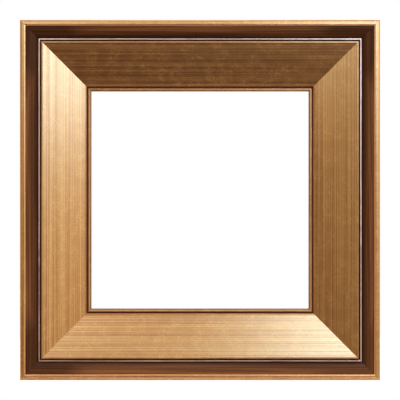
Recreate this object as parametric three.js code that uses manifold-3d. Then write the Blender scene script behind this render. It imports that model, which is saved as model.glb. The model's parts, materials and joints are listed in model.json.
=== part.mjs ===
// Floater frame for a square picture. An L-shaped brown moulding with a gold cap carries, behind a
// shadow gap and a silver slip, a wide gold panel frame that slopes down to the picture.
//
// Millimetres. X runs to the right, Z up, and the front faces -Y. The wall is the plane Y = 0, and the
// origin is the point on the wall behind the middle of the frame.

import * as THREE from 'three';
import { mergeVertices } from 'three/addons/utils/BufferGeometryUtils.js';
import Module from 'manifold-3d';

// Picture and wall
const artWidth = 254;
const artHeight = 254;
const artOverlap = 6.35; // sight edge over the picture's edge
const artAllowance = 1.6; // room beside the picture in its rabbet
const wallStandoff = 5; // wall to the back of the floater

// Section widths, from the outer edge inwards
const capWidth = 6.3;
const capInnerWidth = 1.8; // inner edge of the cap to its crest
const faceWidth = 13.7;
const slipThickness = 1.8;
const shadowGap = 1.2;
const panelWidth = 50.2;
const panelLandWidth = 2.2; // flatter land along the panel's inner edge
const quirkWidth = 2.1;
const lipWidth = 2.3;
const sightStepWidth = 1.1; // low step between the lip and the opening
const ledgeWidth = 16;

// Section heights, built up from the back of the floater forwards
const ledgeThickness = 8;
const rabbetDepth = 9.5;
const filletThickness = 3.2;
const lipRise = 2.2;
const quirkDepth = 3.6;
const panelDrop = 12.5;
const panelLandDrop = 0.25;
const panelProud = 4; // panel's outer edge over the inner end of the brown face
const slipProud = 0.6; // slip over the inner end of the brown face
const faceDrop = 4.6;
const capRise = 0.9; // crest of the cap over the brown face
const capFall = 1.1; // crest of the cap over the frame's outer edge

// Soft shapes of the section
const faceShoulder = 8; // how far the brown face runs before it rolls down
const panelEdgeRadius = 2.2;
const panelNoseRadius = 0.5;
const panelLandRadius = 0.8;
const faceEndRadius = 1.2;
const capSlope = 2; // outer stretch over which the cap falls away
const capRoll = 0.8; // inner stretch over which it rolls down to the face
const slipEdgeRadius = 0.5;
const lipEdgeRadius = 0.5;

// Clearances
const glueLine = 0.2; // between two glued faces
const fastenerGap = 0.3; // round a nail or screw in its hole, and under a loose plate
const hingeGap = 0.3; // round the wire of a ring in its strap
const sunkDepth = 0.3; // head of a nail or screw below the wood

// Corner nails
const nailLeg = 7;
const nailThickness = 0.8;
const nailHeight = 8;
const nailMargin = 3.5; // nail to the nearest edge of its moulding

// Panel screws, two on each side, through the ledge into the panel
const panelScrewSpacing = 170;
const panelScrew = { headRadius: 3.3, headHeight: 2.2, shankRadius: 1.6, length: 16, tip: 3 };

// Hangers on the left and right rails
const hangerRise = 66; // above the middle of the frame
const strapLength = 27; // tail to hinge
const strapWidth = 10;
const strapSheet = 0.8; // the strap is this sheet, folded double round the ring
const strapTail = 6; // outer edge of the frame to the tail
const strapScrewInset = 6.5; // tail to screw
const ringWire = 1.1; // radius
const ringBar = 15; // middle of one arm to middle of the other
const ringArm = 4; // straight stretch before the bow
const ringCorner = 2;
const hangerScrew = { headRadius: 3.4, headHeight: 2, shankRadius: 1.7, length: 15, tip: 3 };

// Turn buttons, one in the middle of each side
const buttonThickness = 1.2;
const buttonEndRadius = 5; // round the pivot
const buttonTipRadius = 3.4;
const buttonReach = 14; // pivot to tip
const buttonInset = 8; // pivot to the rabbet's wall
const buttonScrew = { headRadius: 3, headHeight: 1.9, shankRadius: 1.4, length: 13, tip: 3 };

// Wall bumpers in the bottom corners
const bumperRadius = 5;
const bumperFlatRadius = 3;
const bumperRim = 2;
const bumperInset = 12; // from each outer edge

// Cross recess of the screws
const recessReach = 1.9;
const recessWidth = 0.8;
const recessDepth = 1.1;

// Fineness of the facets
const curveSegments = 6;
const screwSegments = 16;
const ringSegments = 44;
const wireSides = 8;

// Places across the section, as u, inwards from the frame's outer edge
const faceEnd = capWidth + faceWidth;
const ledgeEnd = faceEnd + ledgeWidth;
const slipStart = faceEnd + glueLine;
const slipEnd = slipStart + slipThickness;
const panelStart = slipEnd + shadowGap;
const panelEnd = panelStart + panelWidth;
const lipStart = panelEnd + quirkWidth;
const lipEnd = lipStart + lipWidth;
const mouldingWidth = lipEnd + sightStepWidth;
const rabbetWall = mouldingWidth - artOverlap - artAllowance;

// Places through the section, as h, forwards from the floater's back
const panelSeat = ledgeThickness + glueLine;
const filletBack = panelSeat + rabbetDepth;
const quirkFloor = filletBack + filletThickness;
const panelInnerHeight = quirkFloor + quirkDepth;
const panelOuterHeight = panelInnerHeight + panelDrop;
const faceInnerHeight = panelOuterHeight - panelProud;
const slipHeight = faceInnerHeight + slipProud;
const faceOuterHeight = faceInnerHeight + faceDrop;
const capHeight = faceOuterHeight + capRise;
const lipHeight = quirkFloor + lipRise;

// Outer half sizes of the frame, and its four sides and corners. Each is built as the bottom side or the
// bottom left corner and turned about Y into place.
const halfWidth = artWidth / 2 - artOverlap + mouldingWidth;
const halfHeight = artHeight / 2 - artOverlap + mouldingWidth;
const quarterTurn = Math.PI / 2;
const sides = [
  { name: 'bottom', turn: 0, reach: halfWidth, drop: halfHeight, up: 1 },
  { name: 'left', turn: quarterTurn, reach: halfHeight, drop: halfWidth, up: -1 },
  { name: 'top', turn: 2 * quarterTurn, reach: halfWidth, drop: halfHeight, up: 1 },
  { name: 'right', turn: -quarterTurn, reach: halfHeight, drop: halfWidth, up: 1 },
];
const corners = [
  { name: 'bottom_left', turn: 0, x: -halfWidth, z: -halfHeight },
  { name: 'top_left', turn: quarterTurn, x: -halfWidth, z: halfHeight },
  { name: 'top_right', turn: 2 * quarterTurn, x: halfWidth, z: halfHeight },
  { name: 'bottom_right', turn: -quarterTurn, x: halfWidth, z: -halfHeight },
];

const finishes = {
  gilt: { color: 0xb98a52, roughness: 0.38, metalness: 0.85 },
  lacquer: { color: 0x5a3420, roughness: 0.35, metalness: 0 },
  silver: { color: 0xc4aca6, roughness: 0.3, metalness: 0.9 },
  steel: { color: 0xb4b6b8, roughness: 0.35, metalness: 1 },
  rubber: { color: 0x2b2b2b, roughness: 0.8, metalness: 0 },
};

const wasm = await Module();
wasm.setup();

// Solids for cutting, and back to geometry

function toSolid(geometry) {
  const bare = geometry.clone();
  bare.deleteAttribute('normal');
  bare.deleteAttribute('uv');
  const merged = mergeVertices(bare);
  return new wasm.Manifold(new wasm.Mesh({
    numProp: 3,
    vertProperties: new Float32Array(merged.getAttribute('position').array),
    triVerts: new Uint32Array(merged.getIndex().array),
  }));
}

function toGeometry(solid) {
  const mesh = solid.getMesh();
  const geometry = new THREE.BufferGeometry();
  geometry.setAttribute('position', new THREE.BufferAttribute(mesh.vertProperties, mesh.numProp));
  geometry.setIndex(new THREE.BufferAttribute(mesh.triVerts, 1));
  geometry.computeVertexNormals();
  return geometry;
}

function cut(geometry, tools) {
  return toGeometry(tools.reduce((solid, tool) => solid.subtract(toSolid(tool)), toSolid(geometry)));
}

function meshOf(name, geometry, finish) {
  const mesh = new THREE.Mesh(geometry, new THREE.MeshStandardMaterial(finish));
  mesh.name = name;
  return mesh;
}

// Mouldings

// One length of moulding with mitred ends, as the bottom side of the frame. Its section is drawn in u and
// h, and each end slides in by u, which makes the mitre.
function mitredRail(section, side) {
  const rail = new THREE.ExtrudeGeometry(section, { depth: 1, bevelEnabled: false, curveSegments });
  const position = rail.getAttribute('position');
  for (let i = 0; i < position.count; i += 1) {
    const u = position.getX(i);
    const h = position.getY(i);
    const end = position.getZ(i) > 0.5 ? 1 : -1;
    position.setXYZ(i, end * (side.reach - u - glueLine / 2), -wallStandoff - h, u - side.drop);
  }
  return rail;
}

// Rounds a corner of an outline: the line stops short of it, and a curve leads round it.
function roundCorner(shape, before, corner, after, radius) {
  const start = corner.clone().add(before.clone().sub(corner).setLength(radius));
  const end = corner.clone().add(after.clone().sub(corner).setLength(radius));
  shape.lineTo(start.x, start.y);
  shape.quadraticCurveTo(corner.x, corner.y, end.x, end.y);
}

// Adds the two round corners of a flat top, drawn from its inner end to its outer end.
function roundTop(shape, inner, outer, foot, radius) {
  const innerFoot = new THREE.Vector2(inner.x, foot);
  const outerFoot = new THREE.Vector2(outer.x, foot);
  roundCorner(shape, innerFoot, inner, outer, radius);
  roundCorner(shape, inner, outer, outerFoot, radius);
}

// The cap leans outwards: it rolls down to the face on its inner side, with a long fall to the outer edge.
function floaterSection() {
  const wall = new THREE.Vector2(faceEnd, ledgeThickness);
  const faceLow = new THREE.Vector2(faceEnd, faceInnerHeight);
  const roll = new THREE.Vector2(capWidth + faceShoulder, faceOuterHeight);
  const shape = new THREE.Shape();
  shape.moveTo(0, 0);
  shape.lineTo(ledgeEnd, 0);
  shape.lineTo(ledgeEnd, ledgeThickness);
  shape.lineTo(wall.x, wall.y);
  roundCorner(shape, wall, faceLow, roll, faceEndRadius);
  shape.quadraticCurveTo(roll.x, roll.y, capWidth, faceOuterHeight);
  shape.quadraticCurveTo(capWidth - capRoll, capHeight, capWidth - capInnerWidth, capHeight);
  shape.quadraticCurveTo(capSlope, capHeight, 0, capHeight - capFall);
  return shape;
}

function slipSection() {
  const inner = new THREE.Vector2(slipEnd, slipHeight);
  const outer = new THREE.Vector2(slipStart, slipHeight);
  const shape = new THREE.Shape();
  shape.moveTo(slipStart, panelSeat);
  shape.lineTo(slipEnd, panelSeat);
  roundTop(shape, inner, outer, panelSeat, slipEdgeRadius);
  return shape;
}

function panelSection() {
  const seat = new THREE.Vector2(panelStart, panelSeat);
  const lip = new THREE.Vector2(panelEnd, quirkFloor + glueLine);
  const nose = new THREE.Vector2(panelEnd, panelInnerHeight);
  const land = new THREE.Vector2(panelEnd - panelLandWidth, panelInnerHeight + panelLandDrop);
  const edge = new THREE.Vector2(panelStart, panelOuterHeight);
  const shape = new THREE.Shape();
  shape.moveTo(seat.x, seat.y);
  shape.lineTo(rabbetWall, panelSeat);
  shape.lineTo(rabbetWall, lip.y);
  shape.lineTo(lip.x, lip.y);
  roundCorner(shape, lip, nose, land, panelNoseRadius);
  roundCorner(shape, nose, land, edge, panelLandRadius);
  roundCorner(shape, land, edge, seat, panelEdgeRadius);
  return shape;
}

function filletSection() {
  const start = rabbetWall + glueLine;
  const inner = new THREE.Vector2(lipEnd, lipHeight);
  const outer = new THREE.Vector2(lipStart, lipHeight);
  const shape = new THREE.Shape();
  shape.moveTo(start, filletBack);
  shape.lineTo(mouldingWidth, filletBack);
  shape.lineTo(mouldingWidth, quirkFloor);
  shape.lineTo(lipEnd, quirkFloor);
  roundTop(shape, inner, outer, quirkFloor, lipEdgeRadius);
  shape.lineTo(lipStart, quirkFloor);
  shape.lineTo(start, quirkFloor);
  return shape;
}

// Corner nails

// V-shaped nail with its bend at the origin and its legs along the two rails, driven towards the front.
// A slot for it is the same shape, grown by a gap.
function nailGeometry(gap, sunk) {
  const half = nailThickness / 2 + gap;
  const leg = nailLeg + gap;
  const shape = new THREE.Shape();
  shape.moveTo(-half, -half);
  shape.lineTo(leg, -half);
  shape.lineTo(leg, half);
  shape.lineTo(half, half);
  shape.lineTo(half, leg);
  shape.lineTo(-half, leg);
  const depth = nailHeight + gap + sunk;
  const nail = new THREE.ExtrudeGeometry(shape, { depth, bevelEnabled: false });
  return nail.rotateX(quarterTurn);
}

// Nails of one moulding: where along the mitre their bends lie, and how far forwards their heads are.
const floaterNails = { places: { outer: nailMargin, inner: faceEnd - nailMargin - nailLeg }, back: 0 };
const panelNails = {
  places: { outer: ledgeEnd + nailMargin, inner: rabbetWall - nailMargin - nailLeg },
  back: panelSeat,
};

// Slots for a moulding's nails at both ends of a side
function nailSlots(nails, side) {
  return Object.values(nails.places).flatMap((place) => [1, -1].map((end) => {
    const slot = nailGeometry(fastenerGap, 2 * sunkDepth);
    slot.rotateY(end > 0 ? -quarterTurn : 0);
    const back = sunkDepth - wallStandoff - nails.back;
    return slot.translate(end * (side.reach - place), back, place - side.drop);
  }));
}

function addNails(group, corner, moulding, nails) {
  Object.entries(nails.places).forEach(([where, place]) => {
    const nail = meshOf(`${moulding}_nail_${corner.name}_${where}`, nailGeometry(0, 0), finishes.steel);
    nail.position.set(place, -wallStandoff - nails.back - sunkDepth, place);
    group.add(nail);
  });
}

// Screws

// Turned solid about Y from a half outline of radius and height
function turned(points) {
  const outline = points.map(([radius, height]) => new THREE.Vector2(radius, height));
  return new THREE.LatheGeometry(outline, screwSegments);
}

function crossRecess(top) {
  const half = recessWidth / 2;
  const arm = new THREE.BoxGeometry(2 * recessReach, 2 * recessDepth, 2 * half);
  const across = arm.clone().rotateY(quarterTurn);
  return [arm.translate(0, top, 0), across.translate(0, top, 0)];
}

// Countersunk screw, its flat head at the origin and its point towards -Y
function countersunkScrew(screw) {
  return cut(turned([
    [0, -screw.length],
    [screw.shankRadius, screw.tip - screw.length],
    [screw.shankRadius, -screw.headHeight],
    [screw.headRadius, 0],
    [0, 0],
  ]), crossRecess(0));
}

function countersunkHole(screw) {
  const bore = screw.shankRadius + fastenerGap;
  const mouth = screw.headRadius + fastenerGap;
  const floor = -screw.length - fastenerGap;
  const seat = -screw.headHeight - fastenerGap;
  const open = 2 * sunkDepth;
  return turned([[0, floor], [bore, floor], [bore, seat], [mouth, -fastenerGap], [mouth, open], [0, open]]);
}

// Round-headed screw, its seat at the origin and its point towards -Y
function roundScrew(screw) {
  const crownRadius = screw.headRadius / 2;
  return cut(turned([
    [0, -screw.length],
    [screw.shankRadius, screw.tip - screw.length],
    [screw.shankRadius, 0],
    [screw.headRadius, 0],
    [screw.headRadius, screw.headHeight / 2],
    [crownRadius, screw.headHeight],
    [0, screw.headHeight],
  ]), crossRecess(screw.headHeight));
}

function pilotHole(screw) {
  const bore = screw.shankRadius + fastenerGap;
  const floor = -screw.length - fastenerGap;
  return turned([[0, floor], [bore, floor], [bore, screw.length], [0, screw.length]]);
}

// Panel screws
const panelScrewInset = (panelStart + ledgeEnd) / 2;

function panelScrewPlaces(side) {
  return [-1, 1].map((end) => new THREE.Vector3(
    end * panelScrewSpacing / 2,
    -wallStandoff - sunkDepth,
    panelScrewInset - side.drop,
  ));
}

function panelScrewHoles(side) {
  return panelScrewPlaces(side).map((place) => countersunkHole(panelScrew).translate(...place));
}

// Hangers

const loopBore = ringWire + hingeGap;
const loopRadius = loopBore + strapSheet;
const strapThickness = 2 * strapSheet;
const strapBack = fastenerGap - wallStandoff; // the strap's underside, just off the floater's back

function hangerScrewPlace(side) {
  const inset = strapTail + strapScrewInset;
  const seat = strapBack + strapThickness + fastenerGap;
  return new THREE.Vector3(side.up * hangerRise, seat, inset - side.drop);
}

// Strap with its hinge at the origin: a sheet folded double round the ring's bar, with a rounded tail
function strapGeometry() {
  const fold = new THREE.Shape();
  const topAngle = Math.PI - Math.asin((strapThickness - loopRadius) / loopRadius);
  fold.moveTo(-strapLength, -loopRadius);
  fold.absarc(0, 0, loopRadius, -quarterTurn, topAngle);
  fold.lineTo(-strapLength, strapThickness - loopRadius);
  const bore = new THREE.Path();
  bore.absarc(0, 0, loopBore, 0, 2 * Math.PI);
  fold.holes.push(bore);
  const sheet = new THREE.ExtrudeGeometry(fold, { depth: strapWidth, bevelEnabled: false, curveSegments });
  sheet.translate(0, 0, -strapWidth / 2);
  sheet.rotateY(-quarterTurn);

  const half = strapWidth / 2;
  const plan = new THREE.Shape();
  plan.moveTo(half, half - strapLength);
  plan.lineTo(half, 2 * loopRadius);
  plan.lineTo(-half, 2 * loopRadius);
  plan.absarc(0, half - strapLength, half, Math.PI, 2 * Math.PI);
  const depth = 4 * loopRadius;
  const blank = new THREE.ExtrudeGeometry(plan, { depth, bevelEnabled: false, curveSegments });
  blank.rotateX(quarterTurn);
  blank.translate(0, 2 * loopRadius, 0);

  const hole = pilotHole(hangerScrew).translate(0, 0, strapScrewInset - strapLength);
  return toGeometry(toSolid(sheet).intersect(toSolid(blank)).subtract(toSolid(hole)));
}

// Middle line of a ring's wire: a straight bar, round corners, two arms and a half-round bow
class RingLine extends THREE.Curve {
  constructor() {
    super();
    const half = ringBar / 2;
    const inner = half - ringCorner;
    this.outline = new THREE.Path();
    this.outline.moveTo(0, 0);
    this.outline.lineTo(inner, 0);
    this.outline.absarc(inner, ringCorner, ringCorner, -quarterTurn, 0);
    this.outline.lineTo(half, ringArm);
    this.outline.absarc(0, ringArm, half, 0, Math.PI);
    this.outline.lineTo(-half, ringCorner);
    this.outline.absarc(-inner, ringCorner, ringCorner, Math.PI, 3 * quarterTurn);
    this.outline.closePath();
  }

  getPoint(t, target = new THREE.Vector3()) {
    const point = this.outline.getPoint(t);
    return target.set(point.x, 0, point.y);
  }
}

function ringGeometry() {
  return new THREE.TubeGeometry(new RingLine(), ringSegments, ringWire, wireSides, true);
}

function addHanger(group, side) {
  const hinge = new THREE.Vector3(
    side.up * hangerRise,
    strapBack + loopRadius,
    strapTail + strapLength - side.drop,
  );
  const strap = meshOf(`hanger_strap_${side.name}`, strapGeometry(), finishes.steel);
  const ring = meshOf(`hanger_ring_${side.name}`, ringGeometry(), finishes.steel);
  const screw = meshOf(`hanger_screw_${side.name}`, roundScrew(hangerScrew), finishes.steel);
  strap.position.copy(hinge);
  ring.position.copy(hinge);
  screw.position.copy(hangerScrewPlace(side));
  group.add(strap, ring, screw);
}

// Turn buttons

const buttonPivot = rabbetWall - buttonInset;
const buttonFront = panelSeat - fastenerGap; // h of the face that meets the panel
const buttonBack = buttonFront - buttonThickness;

function buttonScrewPlace(side) {
  return new THREE.Vector3(0, fastenerGap - wallStandoff - buttonBack, buttonPivot - side.drop);
}

// Flat pear-shaped button, its pivot at the origin and its tip along X
function buttonGeometry() {
  const tip = buttonReach - buttonTipRadius;
  const lean = Math.acos((buttonEndRadius - buttonTipRadius) / tip);
  const plan = new THREE.Shape();
  plan.absarc(tip, 0, buttonTipRadius, -lean, lean);
  plan.absarc(0, 0, buttonEndRadius, lean, 2 * Math.PI - lean);
  const hole = new THREE.Path();
  hole.absarc(0, 0, buttonScrew.shankRadius + fastenerGap, 0, 2 * Math.PI);
  plan.holes.push(hole);
  const button = new THREE.ExtrudeGeometry(plan, {
    depth: buttonThickness,
    bevelEnabled: false,
    curveSegments: 2 * curveSegments,
  });
  return button.rotateX(quarterTurn);
}

// The button rests beside the rabbet, along its rail. On the left and right its tip hangs down.
function addTurnButton(group, side) {
  const button = meshOf(`turn_button_${side.name}`, buttonGeometry(), finishes.steel);
  const screw = meshOf(`turn_button_screw_${side.name}`, roundScrew(buttonScrew), finishes.steel);
  button.position.set(0, -wallStandoff - buttonBack, buttonPivot - side.drop);
  button.rotation.y = side.up > 0 ? Math.PI : 0;
  screw.position.copy(buttonScrewPlace(side));
  group.add(button, screw);
}

// Wall bumpers

function bumperGeometry() {
  const top = wallStandoff - glueLine;
  return turned([[0, 0], [bumperRadius, 0], [bumperRadius, bumperRim], [bumperFlatRadius, top], [0, top]]);
}

function addBumper(group, side, name, end) {
  const bumper = meshOf(`wall_bumper_${name}`, bumperGeometry(), finishes.rubber);
  bumper.position.set(end * (side.reach - bumperInset), glueLine - wallStandoff, bumperInset - side.drop);
  group.add(bumper);
}

// Assembly

const hangerSides = ['left', 'right'];

function floaterRail(side) {
  const tools = [...nailSlots(floaterNails, side), ...panelScrewHoles(side)];
  if (hangerSides.includes(side.name)) {
    tools.push(pilotHole(hangerScrew).translate(...hangerScrewPlace(side)));
  }
  return cut(mitredRail(floaterSection(), side), tools);
}

function panelRail(side) {
  const pivotHole = pilotHole(buttonScrew).translate(...buttonScrewPlace(side));
  const tools = [...nailSlots(panelNails, side), ...panelScrewHoles(side), pivotHole];
  return cut(mitredRail(panelSection(), side), tools);
}

function sideGroup(side) {
  const group = new THREE.Group();
  group.rotation.y = side.turn;
  group.add(
    meshOf(`floater_rail_${side.name}`, floaterRail(side), finishes.lacquer),
    meshOf(`silver_slip_${side.name}`, mitredRail(slipSection(), side), finishes.silver),
    meshOf(`panel_rail_${side.name}`, panelRail(side), finishes.gilt),
    meshOf(`sight_fillet_${side.name}`, mitredRail(filletSection(), side), finishes.gilt),
  );
  panelScrewPlaces(side).forEach((place, index) => {
    const name = `panel_screw_${side.name}_${index + 1}`;
    const screw = meshOf(name, countersunkScrew(panelScrew), finishes.steel);
    screw.position.copy(place);
    group.add(screw);
  });
  addTurnButton(group, side);
  if (hangerSides.includes(side.name)) addHanger(group, side);
  if (side.name === 'bottom') {
    addBumper(group, side, 'left', -1);
    addBumper(group, side, 'right', 1);
  }
  return group;
}

function cornerGroup(corner) {
  const group = new THREE.Group();
  group.position.set(corner.x, 0, corner.z);
  group.rotation.y = corner.turn;
  addNails(group, corner, 'floater', floaterNails);
  addNails(group, corner, 'panel', panelNails);
  return group;
}

const frame = new THREE.Group();
frame.add(...sides.map(sideGroup), ...corners.map(cornerGroup));

export default frame;
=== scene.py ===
"""Looks of the floater frame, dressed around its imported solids.

Metres. X runs to the right, Z up, and the front faces -Y. The wall is the plane Y = 0, and the origin is
the point on the wall behind the middle of the frame. A moulding's section is drawn in u, inwards from the
frame's outer edge, and h, forwards from the back of the floater.
"""

from __future__ import annotations

import json
import logging
import math
from bisect import bisect_right
from dataclasses import dataclass, field
from enum import Enum
from typing import Any

import bmesh
import bpy
from mathutils import Matrix, Vector

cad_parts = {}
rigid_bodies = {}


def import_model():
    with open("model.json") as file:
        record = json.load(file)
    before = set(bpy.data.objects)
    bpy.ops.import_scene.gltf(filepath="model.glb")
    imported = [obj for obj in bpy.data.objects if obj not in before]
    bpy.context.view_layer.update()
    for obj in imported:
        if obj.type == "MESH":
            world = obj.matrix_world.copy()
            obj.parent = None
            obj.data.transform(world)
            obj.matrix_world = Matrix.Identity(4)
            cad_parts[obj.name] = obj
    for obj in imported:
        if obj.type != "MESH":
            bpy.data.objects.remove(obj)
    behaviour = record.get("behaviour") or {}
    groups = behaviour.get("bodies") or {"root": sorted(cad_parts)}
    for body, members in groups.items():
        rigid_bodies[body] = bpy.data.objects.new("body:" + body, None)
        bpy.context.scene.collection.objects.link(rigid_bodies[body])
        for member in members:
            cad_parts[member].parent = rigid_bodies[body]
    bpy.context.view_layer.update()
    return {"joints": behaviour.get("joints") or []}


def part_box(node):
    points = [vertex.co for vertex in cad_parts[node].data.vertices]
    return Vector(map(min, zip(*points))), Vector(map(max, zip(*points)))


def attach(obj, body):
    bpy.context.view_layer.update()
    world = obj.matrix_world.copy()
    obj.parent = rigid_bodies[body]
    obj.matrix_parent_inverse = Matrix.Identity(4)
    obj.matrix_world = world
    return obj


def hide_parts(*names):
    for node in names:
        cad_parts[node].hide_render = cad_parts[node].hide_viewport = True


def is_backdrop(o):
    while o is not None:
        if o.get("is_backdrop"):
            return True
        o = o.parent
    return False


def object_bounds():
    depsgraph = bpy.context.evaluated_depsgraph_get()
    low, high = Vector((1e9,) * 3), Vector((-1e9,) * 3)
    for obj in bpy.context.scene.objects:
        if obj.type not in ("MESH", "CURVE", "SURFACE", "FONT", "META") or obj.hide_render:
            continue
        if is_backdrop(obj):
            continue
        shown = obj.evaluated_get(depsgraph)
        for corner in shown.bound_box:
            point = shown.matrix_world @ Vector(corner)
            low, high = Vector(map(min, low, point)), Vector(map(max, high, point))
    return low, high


log = logging.getLogger("floater_frame")

MM = 0.001
QUARTER_TURN = math.pi / 2
SHARP_ANGLE = math.radians(32)
MERGE_DISTANCE = 1e-7
WHITE = (1.0, 1.0, 1.0)

Colour = tuple[float, float, float]
Profile = list[tuple[float, float]]
Places = list[tuple[Vector, float]]
Piece = bpy.types.Object
Mesh = bpy.types.Mesh
Material = bpy.types.Material
NodeTree = bpy.types.NodeTree
Node = bpy.types.Node
Socket = bpy.types.NodeSocket


class Zone(Enum):
    """Finish of one stretch of a moulding's section."""

    PANEL_GOLD = "panel gold"
    CAP_GOLD = "cap gold"
    # The sight step's gold, darkened as painted shade under the lip.
    BRONZE = "bronze"
    SILVER = "silver"
    LACQUER = "lacquer"
    BOLE = "bole"
    BARE = "bare wood"


class Head(Enum):
    """Form of a screw's head."""

    COUNTERSUNK = "countersunk"
    ROUND = "round"


# Node trees


class Wiring:
    """Adds nodes to a tree and joins them.

    A value given for a socket is another socket, which is linked, or a constant, which is set.
    """

    def __init__(self, tree: NodeTree) -> None:
        """Keeps the tree that the nodes go into."""
        self.tree = tree

    def feed(self, socket: Socket, value: Any) -> None:
        """Links or sets one input socket. A colour is set with full alpha.

        Args:
            socket: Input socket.
            value: Socket or constant that it gets.
        """
        if isinstance(value, Socket):
            self.tree.links.new(value, socket)
        elif socket.type == "RGBA":
            socket.default_value = (*value, 1.0)
        else:
            socket.default_value = value

    def fill(self, node: Node, inputs: dict) -> None:
        """Links or sets inputs of a node, by socket name or number."""
        for key, value in inputs.items():
            self.feed(node.inputs[key], value)

    def node(self, kind: str, inputs: dict | None = None, **settings: Any) -> Node:
        """Adds one node.

        Args:
            kind: Blender's name of the node type.
            inputs: Socket name or number to its value.
            settings: Properties of the node, set before its inputs.

        Returns:
            The new node.
        """
        made = self.tree.nodes.new(kind)
        for name, value in settings.items():
            setattr(made, name, value)
        self.fill(made, inputs or {})
        return made

    def math(self, operation: str, *values: Any) -> Socket:
        """Adds a Math node and returns its result."""
        return self.node("ShaderNodeMath", dict(enumerate(values)), operation=operation).outputs[0]

    def total(self, values: dict[str, Socket], shares: dict[str, float]) -> Socket:
        """Adds up values by their shares.

        Args:
            values: Name of each value to its socket.
            shares: Name to the factor of each value that counts.

        Returns:
            The sum.
        """
        result: Any = 0.0
        for name, share in shares.items():
            result = self.math("MULTIPLY_ADD", values[name], share, result)
        return result

    def vector(self, operation: str, *values: Any) -> Socket:
        """Adds a Vector Math node and returns its vector."""
        return self.node("ShaderNodeVectorMath", dict(enumerate(values)), operation=operation).outputs[0]

    def scaled(self, vector: Any, factor: Any) -> Socket:
        """Returns a vector times a number."""
        inputs = {0: vector, "Scale": factor}
        return self.node("ShaderNodeVectorMath", inputs, operation="SCALE").outputs[0]

    def parts(self, vector: Any) -> tuple[Socket, ...]:
        """Returns the three parts of a vector."""
        return tuple(self.node("ShaderNodeSeparateXYZ", {0: vector}).outputs)

    def joined(self, x: Any, y: Any, z: Any) -> Socket:
        """Returns the vector of three parts."""
        return self.node("ShaderNodeCombineXYZ", {0: x, 1: y, 2: z}).outputs[0]

    def spread(self, value: Any, low: Any, high: Any, first: Any = 0.0, last: Any = 1.0) -> Socket:
        """Maps a value from the range low to high onto first to last, clamped."""
        return self.node("ShaderNodeMapRange", {0: value, 1: low, 2: high, 3: first, 4: last}).outputs[0]

    def mixed(self, factor: Any, first: Any, second: Any) -> Socket:
        """Mixes two colours and returns the result."""
        return self.node("ShaderNodeMix", {0: factor, 6: first, 7: second}, data_type="RGBA").outputs[2]

    def noise(self, place: Socket, detail: float, scale: float = 1.0, distortion: float = 0.0) -> Socket:
        """Returns the level of a noise at a place."""
        inputs = {"Vector": place, "Scale": scale, "Detail": detail, "Distortion": distortion}
        return self.node("ShaderNodeTexNoise", inputs).outputs[0]


class GeometryTool:
    """A Geometry Nodes tree with named inputs, run on an object and baked to a plain mesh."""

    def __init__(self, name: str, inputs: dict[str, str]) -> None:
        """Makes the tree with its interface.

        Args:
            name: Name of the tree.
            inputs: Label of each input to its socket type.
        """
        self.tree = bpy.data.node_groups.new(name, "GeometryNodeTree")
        sockets = self.tree.interface
        sockets.new_socket("Geometry", in_out="INPUT", socket_type="NodeSocketGeometry")
        for label, kind in {**inputs, "Material": "NodeSocketMaterial"}.items():
            sockets.new_socket(label, in_out="INPUT", socket_type=kind)
        sockets.new_socket("Geometry", in_out="OUTPUT", socket_type="NodeSocketGeometry")
        self.wiring = Wiring(self.tree)
        self.given = self.wiring.node("NodeGroupInput").outputs
        self.build()

    def build(self) -> None:
        """Lays out the tree's nodes."""
        raise NotImplementedError

    def store(self, geometry: Socket, name: str, value: Socket, **settings: str) -> Socket:
        """Stores an attribute and returns the geometry."""
        inputs = {"Geometry": geometry, "Name": name, "Value": value}
        return self.wiring.node("GeometryNodeStoreNamedAttribute", inputs, **settings).outputs[0]

    def read(self, name: str, kind: str) -> Socket:
        """Returns a named attribute."""
        found = self.wiring.node("GeometryNodeInputNamedAttribute", {"Name": name}, data_type=kind)
        return found.outputs[0]

    def finish(self, geometry: Socket) -> None:
        """Ends the tree: real geometry with the given material.

        Args:
            geometry: Geometry that the tree has made.
        """
        real = self.wiring.node("GeometryNodeRealizeInstances", {0: geometry}).outputs[0]
        inputs = {"Geometry": real, "Material": self.given["Material"]}
        coated = self.wiring.node("GeometryNodeSetMaterial", inputs).outputs[0]
        self.wiring.node("NodeGroupOutput", {0: coated})

    def bake(self, piece: Piece, values: dict[str, Any]) -> None:
        """Runs the tree on a piece and keeps the result as the piece's mesh.

        Args:
            piece: Object whose mesh goes into the tree.
            values: Input label to its value.
        """
        modifier = piece.modifiers.new(self.tree.name, "NODES")
        modifier.node_group = self.tree
        for item in self.tree.interface.items_tree:
            if item.in_out == "INPUT" and item.name in values:
                modifier[item.identifier] = values[item.name]
        settle(piece)


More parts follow.
